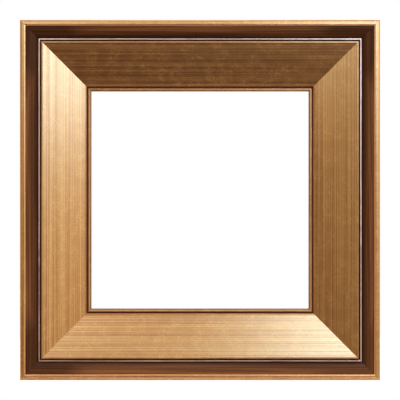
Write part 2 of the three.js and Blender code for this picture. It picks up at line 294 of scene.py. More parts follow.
class MitredMoulding(GeometryTool):
    """Runs a section along the bottom side of the frame, mitres and eases its ends, and turns it."""

    STATIONS = 5
    SIZES = ("Reach", "Drop", "Back", "Turn", "Ease", "Grain")

    def __init__(self) -> None:
        """Makes the tree."""
        super().__init__("mitred_moulding", {label: "NodeSocketFloat" for label in self.SIZES})

    def build(self) -> None:
        """Sweeps the section along its stations and moves each point to its place."""
        wiring, given = self.wiring, self.given
        position = wiring.node("GeometryNodeInputPosition").outputs[0]
        drawn = self.store(given["Geometry"], "section", position, data_type="FLOAT_VECTOR")
        profile = wiring.node("GeometryNodeMeshToCurve", {"Mesh": drawn}).outputs[0]
        line = wiring.node("GeometryNodeMeshLine", {"Count": self.STATIONS}).outputs[0]
        index = wiring.node("GeometryNodeInputIndex").outputs[0]
        numbered = self.store(line, "station", index, data_type="FLOAT")
        path = wiring.node("GeometryNodeMeshToCurve", {"Mesh": numbered}).outputs[0]
        inputs = {"Curve": path, "Profile Curve": profile, "Fill Caps": True}
        skin = wiring.node("GeometryNodeCurveToMesh", inputs).outputs[0]

        last = (self.STATIONS - 1) / 2
        station = wiring.math("SUBTRACT", self.read("station", "FLOAT"), last)
        end = wiring.math("MAXIMUM", wiring.math("MINIMUM", station, 1.0), -1.0)
        tip = wiring.math("GREATER_THAN", wiring.math("ABSOLUTE", station), last - 0.5)
        shrink = wiring.math("MULTIPLY", given["Ease"], tip)
        inset = wiring.scaled(self.read("inward", "FLOAT_VECTOR"), shrink)
        u, h, _ = wiring.parts(wiring.vector("ADD", self.read("section", "FLOAT_VECTOR"), inset))
        short = wiring.math("SUBTRACT", given["Ease"], shrink)
        reach = wiring.math("SUBTRACT", wiring.math("SUBTRACT", given["Reach"], u), short)
        along = wiring.math("MULTIPLY", end, reach)
        depth = wiring.math("SUBTRACT", wiring.math("MULTIPLY", given["Back"], -1.0), h)
        laid = wiring.joined(along, depth, wiring.math("SUBTRACT", u, given["Drop"]))
        inputs = {"Vector": laid, "Angle": given["Turn"]}
        place = wiring.node("ShaderNodeVectorRotate", inputs, rotation_type="Y_AXIS").outputs[0]
        inputs = {"Geometry": skin, "Position": place}
        moved = wiring.node("GeometryNodeSetPosition", inputs).outputs[0]
        grown = wiring.math("ADD", along, given["Grain"])
        rail = wiring.joined(grown, self.read("across", "FLOAT"), 0.0)
        self.finish(self.store(moved, "rail", rail, data_type="FLOAT2", domain="CORNER"))


class FastenerSetter(GeometryTool):
    """Puts a copy of a template on each point, turned by the point and spun at random."""

    def __init__(self) -> None:
        """Makes the tree."""
        inputs = {"Template": "NodeSocketObject", "Spin": "NodeSocketFloat", "Seed": "NodeSocketInt"}
        super().__init__("fastener_setter", inputs)

    def build(self) -> None:
        """Sets one instance on each point."""
        wiring, given = self.wiring, self.given
        inputs = {"Object": given["Template"], "As Instance": True}
        template = wiring.node("GeometryNodeObjectInfo", inputs).outputs["Geometry"]
        inputs = {"Seed": given["Seed"], 2: 0.0, 3: given["Spin"]}
        chance = wiring.node("FunctionNodeRandomValue", inputs, data_type="FLOAT")
        angle = wiring.math("ADD", self.read("turn", "FLOAT"), chance.outputs[1])
        inputs = {"Axis": (0.0, 1.0, 0.0), "Angle": angle}
        rotation = wiring.node("FunctionNodeAxisAngleToRotation", inputs).outputs[0]
        inputs = {"Points": given["Geometry"], "Instance": template, "Rotation": rotation}
        self.finish(wiring.node("GeometryNodeInstanceOnPoints", inputs).outputs[0])


# Meshes


def settle(piece: Piece) -> None:
    """Replaces a piece's mesh by what its modifiers make of it, without empty material slots.

    Args:
        piece: Piece with modifiers, which go.
    """
    graph = bpy.context.evaluated_depsgraph_get()
    made = piece.evaluated_get(graph)
    mesh = bpy.data.meshes.new_from_object(made, preserve_all_data_layers=True, depsgraph=graph)
    mesh.name = piece.name
    for index in reversed(range(len(mesh.materials))):
        if mesh.materials[index] is None:
            mesh.materials.pop(index=index)
    piece.modifiers.clear()
    piece.data = mesh


def add_piece(name: str, mesh: Mesh) -> Piece:
    """Links a new piece to the scene.

    Args:
        name: Name of the piece.
        mesh: Its mesh.

    Returns:
        The new piece.
    """
    piece = bpy.data.objects.new(name, mesh)
    bpy.context.scene.collection.objects.link(piece)
    return piece


def discard(*pieces: Piece) -> None:
    """Removes helper objects."""
    for piece in pieces:
        bpy.data.objects.remove(piece)


def mesh_from(name: str, points: list, faces: list, edges: list | None = None) -> Mesh:
    """Makes a mesh.

    Args:
        name: Name of the mesh.
        points: Its points.
        faces: Point numbers of each face.
        edges: Point numbers of each loose edge.

    Returns:
        The new mesh.
    """
    mesh = bpy.data.meshes.new(name)
    mesh.from_pydata(points, edges or [], faces)
    return mesh


def closed_piece(name: str, points: list, faces: list) -> Piece:
    """Makes a piece without doubles and with its faces outwards.

    Args:
        name: Name of the piece.
        points: Its points.
        faces: Point numbers of each face.

    Returns:
        The new piece.
    """
    mesh = mesh_from(name, points, faces)
    shape = bmesh.new()
    shape.from_mesh(mesh)
    bmesh.ops.remove_doubles(shape, verts=shape.verts, dist=MERGE_DISTANCE)
    bmesh.ops.recalc_face_normals(shape, faces=shape.faces)
    shape.to_mesh(mesh)
    shape.free()
    return add_piece(name, mesh)


def crisp(mesh: Mesh) -> None:
    """Shades a mesh smooth, with a sharp edge wherever its faces meet at a clear angle.

    Args:
        mesh: Mesh of a finished piece.
    """
    shape = bmesh.new()
    shape.from_mesh(mesh)
    for face in shape.faces:
        face.smooth = True
    for edge in shape.edges:
        edge.smooth = len(edge.link_faces) == 2 and edge.calc_face_angle() < SHARP_ANGLE
    shape.to_mesh(mesh)
    shape.free()


def cut(piece: Piece, cutters: list[Piece]) -> None:
    """Cuts shapes out of a piece. New faces keep the material of what cut them.

    Args:
        piece: Piece that is cut.
        cutters: Objects with the shapes of the holes.
    """
    for cutter in cutters:
        modifier = piece.modifiers.new("cut", "BOOLEAN")
        modifier.operation = "DIFFERENCE"
        modifier.solver = "EXACT"
        modifier.material_mode = "TRANSFER"
        modifier.object = cutter
    settle(piece)


def soften(piece: Piece, width: float) -> None:
    """Rounds a piece's sharp edges by a small bevel.

    Args:
        piece: Piece with sharp edges.
        width: Width of the bevel.
    """
    modifier = piece.modifiers.new("soften", "BEVEL")
    modifier.width = width
    modifier.segments = 2
    modifier.limit_method = "ANGLE"
    modifier.angle_limit = SHARP_ANGLE
    modifier.use_clamp_overlap = False
    settle(piece)


def turned(name: str, profile: Profile, segments: int) -> Piece:
    """Turns a half outline about the Y axis.

    Args:
        name: Name of the piece.
        profile: Radius and height of each point, from the axis to the axis.
        segments: Steps round the axis.

    Returns:
        A closed piece whose faces point outwards.
    """
    points: list[tuple[float, float, float]] = []
    rings: list[list[int]] = []
    for radius, height in profile:
        count = segments if radius > 0 else 1
        rings.append(list(range(len(points), len(points) + count)))
        for step in range(count):
            angle = 2 * math.pi * step / segments
            points.append((radius * math.cos(angle), height, radius * math.sin(angle)))
    faces = []
    for lower, upper in zip(rings, rings[1:]):
        for step in range(segments):
            after = (step + 1) % segments
            corners = [lower[step % len(lower)], lower[after % len(lower)]]
            corners += [upper[after % len(upper)], upper[step % len(upper)]]
            faces.append(list(dict.fromkeys(corners)))
    return closed_piece(name, points, faces)


def swept(name: str, rings: list[list[Vector]], closed: bool = False) -> Piece:
    """Joins rings of points into a skin.

    Args:
        name: Name of the piece.
        rings: Rings with the same number of points each.
        closed: Whether the last ring meets the first. Otherwise both ends are capped.

    Returns:
        A closed piece whose faces point outwards.
    """
    size = len(rings[0])
    points = [point for ring in rings for point in ring]
    faces: list = []
    for row in range(len(rings) if closed else len(rings) - 1):
        near = row * size
        far = (row + 1) % len(rings) * size
        for step in range(size):
            after = (step + 1) % size
            faces.append((near + step, near + after, far + after, far + step))
    if not closed:
        last = (len(rings) - 1) * size
        faces += [list(range(size)), list(range(last, last + size))]
    return closed_piece(name, points, faces)


def arc(centre: Vector, radius: float, first: float, last: float, steps: int) -> list[Vector]:
    """Draws an arc in a plane.

    Args:
        centre: Middle of the arc.
        radius: Its radius.
        first: Angle of its first point.
        last: Angle of its last point.
        steps: Steps between them.

    Returns:
        The points, both ends included.
    """
    turn = (last - first) / steps
    angles = [first + turn * step for step in range(steps + 1)]
    return [centre + radius * Vector((math.cos(angle), math.sin(angle))) for angle in angles]


def aimed(place: Vector, towards: Vector) -> Matrix:
    """Returns the placement of a part whose X axis points towards a target, with Y kept."""
    way = towards - place
    return Matrix.Translation(place) @ Matrix.Rotation(math.atan2(-way.z, way.x), 4, "Y")


def middle(node: str) -> Vector:
    """Returns the middle of a CAD node's box."""
    low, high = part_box(node)
    return (low + high) / 2


def back_end(node: str) -> Vector:
    """Returns the middle of the end of a CAD node's box that faces the wall."""
    centre = middle(node)
    return Vector((centre.x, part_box(node)[1].y, centre.z))


def dress(piece: Piece, body: str, nodes: list[str]) -> None:
    """Makes a finished piece stand for CAD nodes.

    Args:
        piece: The finished piece.
        body: CAD body that it moves with.
        nodes: CAD nodes that it replaces.
    """
    crisp(piece.data)
    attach(piece, body)
    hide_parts(*nodes)
    log.info("%s: %d faces for %d nodes", piece.name, len(piece.data.polygons), len(nodes))


# Shader groups


class ShaderGroups:
    """Effects that several finishes share."""

    LINE_LEVELS = (0.38, 0.62)
    SPECK_LEVEL = 0.8
    SPECK_FULL = 0.85
    CURL_LEVEL = 0.5
    CURL_DISTORTION = 0.8
    PATCH_SCALE = 0.3
    PATCH_LEVELS = (0.38, 0.58)

    def __init__(self) -> None:
        """Builds each group once."""
        self.rail_lines = self._rail_lines()
        self.specks = self._specks()
        self.curls = self._curls()

    @staticmethod
    def _group(name: str, inputs: list[str], output: str) -> tuple[Wiring, Any, Socket]:
        """Starts a group of number inputs and one number output.

        Args:
            name: Name of the group.
            inputs: Labels of its inputs, besides the place on the rail.
            output: Label of its output.

        Returns:
            The wiring, the sockets of the inputs and the socket of the output.
        """
        tree = bpy.data.node_groups.new(name, "ShaderNodeTree")
        for label in ["Along", "Across", *inputs]:
            tree.interface.new_socket(label, in_out="INPUT", socket_type="NodeSocketFloat")
        tree.interface.new_socket(output, in_out="OUTPUT", socket_type="NodeSocketFloat")
        wiring = Wiring(tree)
        return wiring, wiring.node("NodeGroupInput").outputs, wiring.node("NodeGroupOutput").inputs[0]

    @staticmethod
    def _place(wiring: Wiring, given: Any, length: str, width: str, shift: Any = 0.0) -> Socket:
        """Counts the place on the rail in lengths and widths.

        Args:
            wiring: Wiring of the group.
            given: Sockets of its inputs.
            length: Label of the length.
            width: Label of the width.
            shift: Third part of the place.

        Returns:
            The place.
        """
        along = wiring.math("DIVIDE", given["Along"], given[length])
        across = wiring.math("DIVIDE", given["Across"], given[width])
        return wiring.joined(along, across, shift)

    def _rail_lines(self) -> NodeTree:
        """Draws fine lines that run along a rail.

        Returns:
            A group that gives 0 between the lines and 1 on them.
        """
        wiring, given, result = self._group("rail_lines", ["Length", "Width", "Shift"], "Lines")
        place = self._place(wiring, given, "Length", "Width", given["Shift"])
        wiring.feed(result, wiring.spread(wiring.noise(place, detail=1.0), *self.LINE_LEVELS))
        return wiring.tree

    def _specks(self) -> NodeTree:
        """Scatters small specks.

        Returns:
            A group that gives 1 inside a speck and 0 elsewhere.
        """
        wiring, given, result = self._group("specks", ["Size", "Share"], "Specks")
        noise = wiring.noise(self._place(wiring, given, "Size", "Size"), detail=1.0)
        start = wiring.math("SUBTRACT", self.SPECK_LEVEL, given["Share"])
        wiring.feed(result, wiring.spread(noise, start, self.SPECK_FULL))
        return wiring.tree

    def _curls(self) -> NodeTree:
        """Draws thin curly strokes in patches.

        Returns:
            A group that gives 1 on a stroke and 0 elsewhere.
        """
        wiring, given, result = self._group("curls", ["Size", "Width"], "Curls")
        place = self._place(wiring, given, "Size", "Size")
        level = wiring.noise(place, detail=2.0, distortion=self.CURL_DISTORTION)
        apart = wiring.math("ABSOLUTE", wiring.math("SUBTRACT", level, self.CURL_LEVEL))
        stroke = wiring.spread(apart, 0.0, given["Width"], 1.0, 0.0)
        noise = wiring.noise(place, detail=1.0, scale=self.PATCH_SCALE)
        patch = wiring.spread(noise, *self.PATCH_LEVELS)
        wiring.feed(result, wiring.math("MULTIPLY", stroke, patch))
        return wiring.tree


class RailMarks:
    """Layers of marks that follow a rail by its rail attribute."""

    def __init__(self, wiring: Wiring, groups: ShaderGroups) -> None:
        """Reads the places along and across the rail.

        Args:
            wiring: Wiring of the material.
            groups: Groups that draw the marks.
        """
        self.wiring = wiring
        self.groups = groups
        attribute = wiring.node("ShaderNodeAttribute", attribute_name="rail")
        self.along, self.across, _ = wiring.parts(attribute.outputs["Vector"])

    def layer(self, tree: NodeTree, sizes: dict[str, float], crosswise: bool = False) -> Socket:
        """Adds a layer of a group's marks.

        Args:
            tree: Group that draws the marks.
            sizes: Label of each size to its value.
            crosswise: Whether the marks run across the rail.

        Returns:
            The layer.
        """
        places = [self.across, self.along] if crosswise else [self.along, self.across]
        inputs = {"Along": places[0], "Across": places[1], **sizes}
        return self.wiring.node("ShaderNodeGroup", inputs, node_tree=tree).outputs[0]

    def lines(self, length: float, width: float, crosswise: bool = False) -> Socket:
        """Returns lines of a length and width, shifted by their width so that no two layers match."""
        sizes = {"Length": length, "Width": width, "Shift": width / MM}
        return self.layer(self.groups.rail_lines, sizes, crosswise)

    def specks(self, size: float, share: float) -> Socket:
        """Returns specks of a size. A larger share has more of them."""
        return self.layer(self.groups.specks, {"Size": size, "Share": share})

    def curls(self, size: float, width: float) -> Socket:
        """Returns curly strokes of a size. A larger width makes them thicker."""
        return self.layer(self.groups.curls, {"Size": size, "Width": width})


# Finishes


@dataclass(frozen=True)
class Finish:
    """What every finish holds: its name, the roughness of its surface and the height of its relief."""

    name: str
    roughness: float
    relief: float

    def start(self) -> tuple[Material, Wiring, Node]:
        """Starts a material.

        Returns:
            The material, its wiring and its shader.
        """
        material = bpy.data.materials.new(self.name)
        material.use_nodes = True
        shader = material.node_tree.nodes["Principled BSDF"]
        return material, Wiring(material.node_tree), shader

    def emboss(self, wiring: Wiring, shader: Node, height: Socket) -> None:
        """Gives the shader the finish's relief."""
        bump = wiring.node("ShaderNodeBump", {"Distance": self.relief, "Height": height})
        wiring.feed(shader.inputs["Normal"], bump.outputs[0])

    def material(self, groups: ShaderGroups) -> Material:
        """Builds the finish's material."""
        raise NotImplementedError


@dataclass(frozen=True)
class RailFinish(Finish):
    """A finish with lines along the rail."""

    line_width: float
    line_length: float


@dataclass(frozen=True)
class MetalLeaf(RailFinish):
    """Rubbed metal leaf under a clear coat: lines along the rail, a faint hatch, curls and specks."""

    ground: Colour
    leaf: Colour
    pale: Colour
    strand_length: float
    hatch_width: float
    coat_roughness: float
    hatch_length: float = 4 * MM
    curl_size: float = 6 * MM
    speck_size: float = 2 * MM
    speck_share: float = 0.12
    coat: float = 0.3
    coat_ior: float = 1.5

    BROAD_WIDTH = 5
    STRAND_WIDTH = 0.8
    CURL_WIDTH = 0.07
    TONE = {"fine": 0.62, "broad": 0.04, "strands": 0.08, "hatch": 0.14, "curls": 0.28}
    ROUGHENING = {"tone": 0.05, "curls": 0.09}
    SMOOTHING = 0.04
    HEIGHT = {"fine": 0.6, "strands": 0.1, "curls": 0.1}
    WORN_TONES = (0.05, 0.49)
    BRIGHT_TONES = (0.49, 0.9)
    SPECK_STRENGTH = 0.2
    COATED_TONES = (0.0, 0.8)
    THIN_COAT = 0.7

    def material(self, groups: ShaderGroups) -> Material:
        """Builds the leaf's material.

        Args:
            groups: Groups that draw its marks.

        Returns:
            The material.
        """
        material, wiring, shader = self.start()
        marks = RailMarks(wiring, groups)
        layers = {
            "fine": marks.lines(self.line_length, self.line_width),
            "broad": marks.lines(self.line_length, self.BROAD_WIDTH * self.line_width),
            "strands": marks.lines(self.strand_length, self.STRAND_WIDTH * self.line_width),
            "hatch": marks.lines(self.hatch_length, self.hatch_width, crosswise=True),
            "curls": marks.curls(self.curl_size, self.CURL_WIDTH),
        }
        tone = wiring.total(layers, self.TONE)
        colour = wiring.mixed(wiring.spread(tone, *self.WORN_TONES), self.ground, self.leaf)
        colour = wiring.mixed(wiring.spread(tone, *self.BRIGHT_TONES), colour, self.pale)
        specks = marks.specks(self.speck_size, self.speck_share)
        colour = wiring.mixed(wiring.math("MULTIPLY", specks, self.SPECK_STRENGTH), colour, self.ground)
        rough = wiring.total({**layers, "tone": tone}, self.ROUGHENING)
        inputs = {
            "Base Color": colour,
            "Metallic": 1.0,
            "Roughness": wiring.math("ADD", rough, self.roughness - self.SMOOTHING),
            "Coat Weight": wiring.spread(tone, *self.COATED_TONES, self.THIN_COAT * self.coat, self.coat),
            "Coat Roughness": self.coat_roughness,
            "Coat IOR": self.coat_ior,
        }
        wiring.fill(shader, inputs)
        self.emboss(wiring, shader, wiring.total(layers, self.HEIGHT))
        return material


@dataclass(frozen=True)
class Lacquer(RailFinish):
    """Brown lacquer with painted shade: darker deeper in the moulding's hollow and near its corners, less
    so at the lower right.
    """

    deep: Colour
    brown: Colour
    warm: Colour
    # Painted shade of the hollow: it grows from front to hollow, by the strength shade.
    hollow: float
    shade: float
    # Strength of the painted shade beside the mitres.
    corner_shade: float
    gloss: float
    front: float = -42.6 * MM

    BROAD_LENGTH = 2
    BROAD_WIDTH = 5
    TONE = {"fine": 0.7, "broad": 0.3}
    # Painted corner shade: its reach from the mitres, and its weakening towards the lower right.
    CORNER = (40 * MM, 95 * MM)
    LOWER_RIGHT = (150 * MM, 370 * MM)
    LOWER_RIGHT_SHARE = 0.62
    HOLLOW_CURVE = 0.3
    STREAKS = 0.24
    ROUGHENING = 0.12

    def near_corner(self, wiring: Wiring, x: Socket, z: Socket) -> Socket:
        """Finds the corners by the mitres, where x and z are alike, for the painted shade there.

        Args:
            wiring: Wiring of the material.
            x: Place from left to right.
            z: Place from bottom to top.

        Returns:
            1 beside the mitres, less at the lower right, and 0 elsewhere.
        """
        apart = wiring.math("SUBTRACT", wiring.math("ABSOLUTE", x), wiring.math("ABSOLUTE", z))
        near = wiring.spread(wiring.math("ABSOLUTE", apart), *self.CORNER, 1.0, 0.0)
        downwards = wiring.math("SUBTRACT", x, z)
        share = wiring.spread(downwards, *self.LOWER_RIGHT, 1.0, self.LOWER_RIGHT_SHARE)
        return wiring.math("MULTIPLY", near, share)

    def material(self, groups: ShaderGroups) -> Material:
        """Builds the lacquer's material.

        Args:
            groups: Groups that draw its marks.

        Returns:
            The material.
        """
        material, wiring, shader = self.start()
        marks = RailMarks(wiring, groups)
        length, width = self.BROAD_LENGTH * self.line_length, self.BROAD_WIDTH * self.line_width
        fine = marks.lines(self.line_length, self.line_width)
        tone = wiring.total({"fine": fine, "broad": marks.lines(length, width)}, self.TONE)
        colour = wiring.mixed(tone, self.brown, self.warm)
        x, y, z = wiring.parts(wiring.node("ShaderNodeTexCoord").outputs["Object"])
        # Painted shade: the further back a surface lies, the darker it is.
        depth = wiring.spread(y, self.front, self.hollow)
        sunk = wiring.math("MULTIPLY", wiring.math("POWER", depth, self.HOLLOW_CURVE), self.shade)
        # Painted shade beside the mitres, weaker at the lower right, then the streaks.
        corner_shading = wiring.math("MULTIPLY", self.near_corner(wiring, x, z), self.corner_shade)
        sunk = wiring.math("MULTIPLY_ADD", tone, -self.STREAKS, wiring.math("MAXIMUM", sunk, corner_shading))
        sunk = wiring.spread(sunk, -self.STREAKS / 2, 1 - self.STREAKS / 2)
        start = self.roughness - self.ROUGHENING / 2
        inputs = {
            "Base Color": wiring.mixed(sunk, colour, self.deep),
            "Roughness": wiring.math("MULTIPLY_ADD", fine, self.ROUGHENING, start),
            "Specular IOR Level": self.gloss,
        }
        wiring.fill(shader, inputs)
        self.emboss(wiring, shader, fine)
        return material


@dataclass(frozen=True)
class BareWood(RailFinish):
    """Planed wood with straight fibres and short dark pores."""

    light: Colour
    dark: Colour
    pore: Colour

    BAND_LENGTH = 4
    BAND_WIDTH = 6
    PORE_LENGTH = 0.1
    PORE_WIDTH = 0.4
    PORE_LEVEL = 0.75
    PORE_STRENGTH = 0.5
    TONE = {"fibres": 0.45, "bands": 0.55}
    HEIGHT = {"fibres": 0.5, "pores": -0.8}
    ROUGHENING = 0.15

    def material(self, groups: ShaderGroups) -> Material:
        """Builds the wood's material.

        Args:
            groups: Groups that draw its marks.

        Returns:
            The material.
        """
        material, wiring, shader = self.start()
        marks = RailMarks(wiring, groups)
        length, width = self.line_length, self.line_width
        pores = marks.lines(self.PORE_LENGTH * length, self.PORE_WIDTH * width)
        layers = {
            "fibres": marks.lines(length, width),
            "bands": marks.lines(self.BAND_LENGTH * length, self.BAND_WIDTH * width),
            "pores": wiring.spread(pores, self.PORE_LEVEL, 1.0),
        }
        colour = wiring.mixed(wiring.total(layers, self.TONE), self.light, self.dark)
        dark = wiring.math("MULTIPLY", layers["pores"], self.PORE_STRENGTH)
        inputs = {
            "Base Color": wiring.mixed(dark, colour, self.pore),
            "Roughness": wiring.math("MULTIPLY_ADD", layers["fibres"], self.ROUGHENING, self.roughness),
        }
        wiring.fill(shader, inputs)
        self.emboss(wiring, shader, wiring.total(layers, self.HEIGHT))
        return material


@dataclass(frozen=True)
class CloudyFinish(Finish):
    """A finish with soft blotches and a fine relief that don't follow any direction."""

    dark: Colour
    light: Colour
    metallic: float
    blotch: float
    grit: float

    BLOTCH_LEVELS = (0.3, 0.7)
    ROUGHENING = {"blotches": 0.12, "grit": 0.1}
    SMOOTHING = 0.1

    def material(self, groups: ShaderGroups) -> Material:
        """Builds the finish's material.

        Args:
            groups: Not used, as it has no marks.

        Returns:
            The material.
        """
        material, wiring, shader = self.start()
        place = wiring.node("ShaderNodeTexCoord").outputs["Object"]
        noise = wiring.noise(place, detail=4.0, scale=1 / self.blotch)
        blotches = wiring.spread(noise, *self.BLOTCH_LEVELS)
        grit = wiring.noise(place, detail=2.0, scale=1 / self.grit)
        rough = wiring.total({"blotches": blotches, "grit": grit}, self.ROUGHENING)
        inputs = {
            "Base Color": wiring.mixed(blotches, self.dark, self.light),
            "Roughness": wiring.math("ADD", rough, self.roughness - self.SMOOTHING),
            "Metallic": self.metallic,
        }
        wiring.fill(shader, inputs)
        self.emboss(wiring, shader, grit)
        return material


PANEL_GOLD = MetalLeaf(
    name="panel_gold",
    roughness=0.335,
    relief=0.038 * MM,
    line_width=0.75 * MM,
    line_length=400 * MM,
    ground=(0.53, 0.192, 0.046),
    leaf=(0.77, 0.350, 0.110),
    pale=(0.96, 0.535, 0.195),
    strand_length=90 * MM,
    hatch_width=0.9 * MM,
    hatch_length=3 * MM,
    curl_size=4 * MM,
    speck_size=1.8 * MM,
    coat=1.0,
    coat_roughness=0.22,
    coat_ior=2.8,
)
CAP_GOLD = MetalLeaf(
    name="cap_gold",
    roughness=0.42,
    relief=0.01 * MM,
    line_width=1.4 * MM,
    line_length=200 * MM,
    ground=(0.57, 0.235, 0.068),
    leaf=(0.81, 0.395, 0.132),
    pale=(0.95, 0.52, 0.195),
    strand_length=20 * MM,
    hatch_width=1.6 * MM,
    hatch_length=6 * MM,
    coat=1.0,
    coat_roughness=0.25,
    coat_ior=2.8,
)
# A darker copy of the gold leaf: painted shade on the sight step under the lip.
BRONZE = MetalLeaf(
    name="bronze_step",
    roughness=0.45,
    relief=0.01 * MM,
    line_width=1.2 * MM,
    line_length=120 * MM,
    ground=(0.11, 0.04, 0.012),
    leaf=(0.23, 0.10, 0.032),
    pale=(0.29, 0.14, 0.05),
    strand_length=15 * MM,
    hatch_width=2 * MM,
    coat_roughness=0.3,
)
SILVER = MetalLeaf(
    name="silver_leaf",
    roughness=0.42,
    relief=0.005 * MM,
    line_width=1.2 * MM,
    line_length=120 * MM,
    ground=(0.54, 0.38, 0.42),
    leaf=(0.88, 0.71, 0.79),
    pale=(0.97, 0.83, 0.92),
    strand_length=40 * MM,
    hatch_width=14 * MM,
    curl_size=30 * MM,
    speck_size=6 * MM,
    coat_roughness=0.2,
)
# Its darkening in the hollow and near the corners is painted shade.
BROWN = Lacquer(
    name="brown_lacquer",
    roughness=0.42,
    relief=0.012 * MM,
    line_width=1.5 * MM,
    line_length=120 * MM,
    deep=(0.042, 0.0130, 0.0042),
    brown=(0.130, 0.045, 0.0165),
    warm=(0.235, 0.091, 0.037),
    hollow=-38.0 * MM,
    shade=1.0,
    corner_shade=0.92,
    gloss=0.08,
)
# Its darkening towards the back is painted shade.
BOLE = Lacquer(
    name="dark_bole",
    roughness=0.5,
    relief=0.01 * MM,
    line_width=1.2 * MM,
    line_length=40 * MM,
    deep=(0.10, 0.026, 0.017),
    brown=(0.16, 0.045, 0.028),
    warm=(0.21, 0.060, 0.038),
    hollow=-20 * MM,
    shade=0.4,
    corner_shade=0.0,
    gloss=0.05,
)
BARE = BareWood(
    name="bare_wood",
    roughness=0.6,
    relief=0.05 * MM,
    line_width=1.1 * MM,
    line_length=45 * MM,
    light=(0.60, 0.43, 0.25),
    dark=(0.45, 0.29, 0.15),
    pore=(0.25, 0.14, 0.065),
)
STEEL = CloudyFinish(
    name="zinc_plated_steel",
    roughness=0.32,
    relief=0.006 * MM,
    dark=(0.36, 0.37, 0.38),
    light=(0.55, 0.55, 0.54),
    metallic=1.0,
    blotch=4 * MM,
    grit=0.5 * MM,
)
RUBBER = CloudyFinish(
    name="black_rubber",
    roughness=0.68,
    relief=0.02 * MM,
    dark=(0.018, 0.018, 0.019),
    light=(0.032, 0.032, 0.033),
    metallic=0.0,
    blotch=3 * MM,
    grit=0.35 * MM,
)


class Finishes:
    """All materials of the frame, each made once."""

    def __init__(self) -> None:
        """Builds the materials."""
        groups = ShaderGroups()
        rails = {
            Zone.PANEL_GOLD: PANEL_GOLD,
            Zone.CAP_GOLD: CAP_GOLD,
            Zone.BRONZE: BRONZE,
            Zone.SILVER: SILVER,
            Zone.LACQUER: BROWN,
            Zone.BOLE: BOLE,
            Zone.BARE: BARE,
        }
        self.zones = {zone: finish.material(groups) for zone, finish in rails.items()}
        self.steel = STEEL.material(groups)
        self.rubber = RUBBER.material(groups)


# Mouldings


class Outline:
    """Closed section of a moulding, drawn anticlockwise in u and h, stretch by stretch."""

    ROUND_STEPS = 8

    def __init__(self, u: float, h: float) -> None:
        """Starts the outline at a hidden corner."""
        self.points = [Vector((u, h))]
        self.zones: list[Zone] = []

    def add(self, point: Vector, zone: Zone) -> None:
        """Adds a straight stretch."""
        self.points.append(point)
        self.zones.append(zone)

    def line(self, u: float, h: float, zone: Zone) -> None:
        """Adds a straight stretch to a place."""
        self.add(Vector((u, h)), zone)

    def bend(self, corner: Vector, end: Vector, zone: Zone, steps: int = ROUND_STEPS) -> None:
        """Adds a curve that leaves towards a corner and arrives from it.

        Args:
            corner: Place that the curve bends at.
            end: Its last point.
            zone: Its finish.
            steps: Its straight steps.
        """
        start = self.points[-1]
        for step in range(1, steps + 1):
            share = step / steps
            self.add(start.lerp(corner, share).lerp(corner.lerp(end, share), share), zone)

    def ease(
        self, corner: Vector, following: Vector, radius: float, zone: Zone, steps: int = ROUND_STEPS
    ) -> None:
        """Adds a line up to a corner and a rounding towards the place that follows.

        Args:
            corner: The corner.
            following: Place that follows it.
            radius: How far from the corner the rounding starts and ends.
            zone: Finish of both.
            steps: Straight steps of the rounding.
        """
        before = corner + (self.points[-1] - corner).normalized() * radius
        after = corner + (following - corner).normalized() * radius
        self.add(before, zone)
        self.bend(corner, after, zone, steps)

    def top(self, width: float, height: float, fall: float, radius: float, zone: Zone) -> None:
        """Adds a top with round corners that falls inwards, from below its inner corner.

        Args:
            width: Its width.
            height: Height of its outer corner.
            fall: How much lower its inner corner is.
            radius: Rounding of both corners.
            zone: Its finish.
        """
        foot = self.points[-1]
        inner = Vector((foot.x, height - fall))
        outer = Vector((foot.x - width, height))
        self.ease(inner, outer, radius, zone)
        self.ease(outer, Vector((outer.x, foot.y)), radius, zone)

    def inward(self, index: int) -> Vector:
        """Finds where a point goes when the outline is inset by one unit.

        Args:
            index: Number of the point.

        Returns:
            The point's offset.
        """
        count = len(self.points)
        point = self.points[index]
        before = (point - self.points[index - 1]).normalized()
        after = (self.points[(index + 1) % count] - point).normalized()
        normals = Vector((-before.y, before.x)), Vector((-after.y, after.x))
        return (normals[0] + normals[1]) / (1 + normals[0].dot(normals[1]))

    def lengths(self) -> list[float]:
        """Measures along the outline.

        Returns:
            The developed length from the start to each point.
        """
        lengths = [0.0]
        for near, far in zip(self.points, self.points[1:]):
            lengths.append(lengths[-1] + (far - near).length)
        return lengths

    def mesh(self, name: str) -> Mesh:
        """Makes a ring of edges with each point's developed length and inward offset.

        Args:
            name: Name of the mesh.

        Returns:
            The ring.
        """
        count = len(self.points)
        ring = [(index, (index + 1) % count) for index in range(count)]
        mesh = mesh_from(name, [(*point, 0.0) for point in self.points], [], ring)
        across = mesh.attributes.new("across", "FLOAT", "POINT")
        across.data.foreach_set("value", self.lengths())
        inward = mesh.attributes.new("inward", "FLOAT_VECTOR", "POINT")
        for index in range(count):
            inward.data[index].vector = (*self.inward(index), 0.0)
        return mesh


@dataclass
class Side:
    """One side of the frame: its turn from the bottom, half length and distance from the middle."""

    name: str
    turn: float
    reach: float
    drop: float


@dataclass
class Span:
    """Box of a moulding's section in the CAD frame."""

    start: float
    end: float
    back: float
    front: float


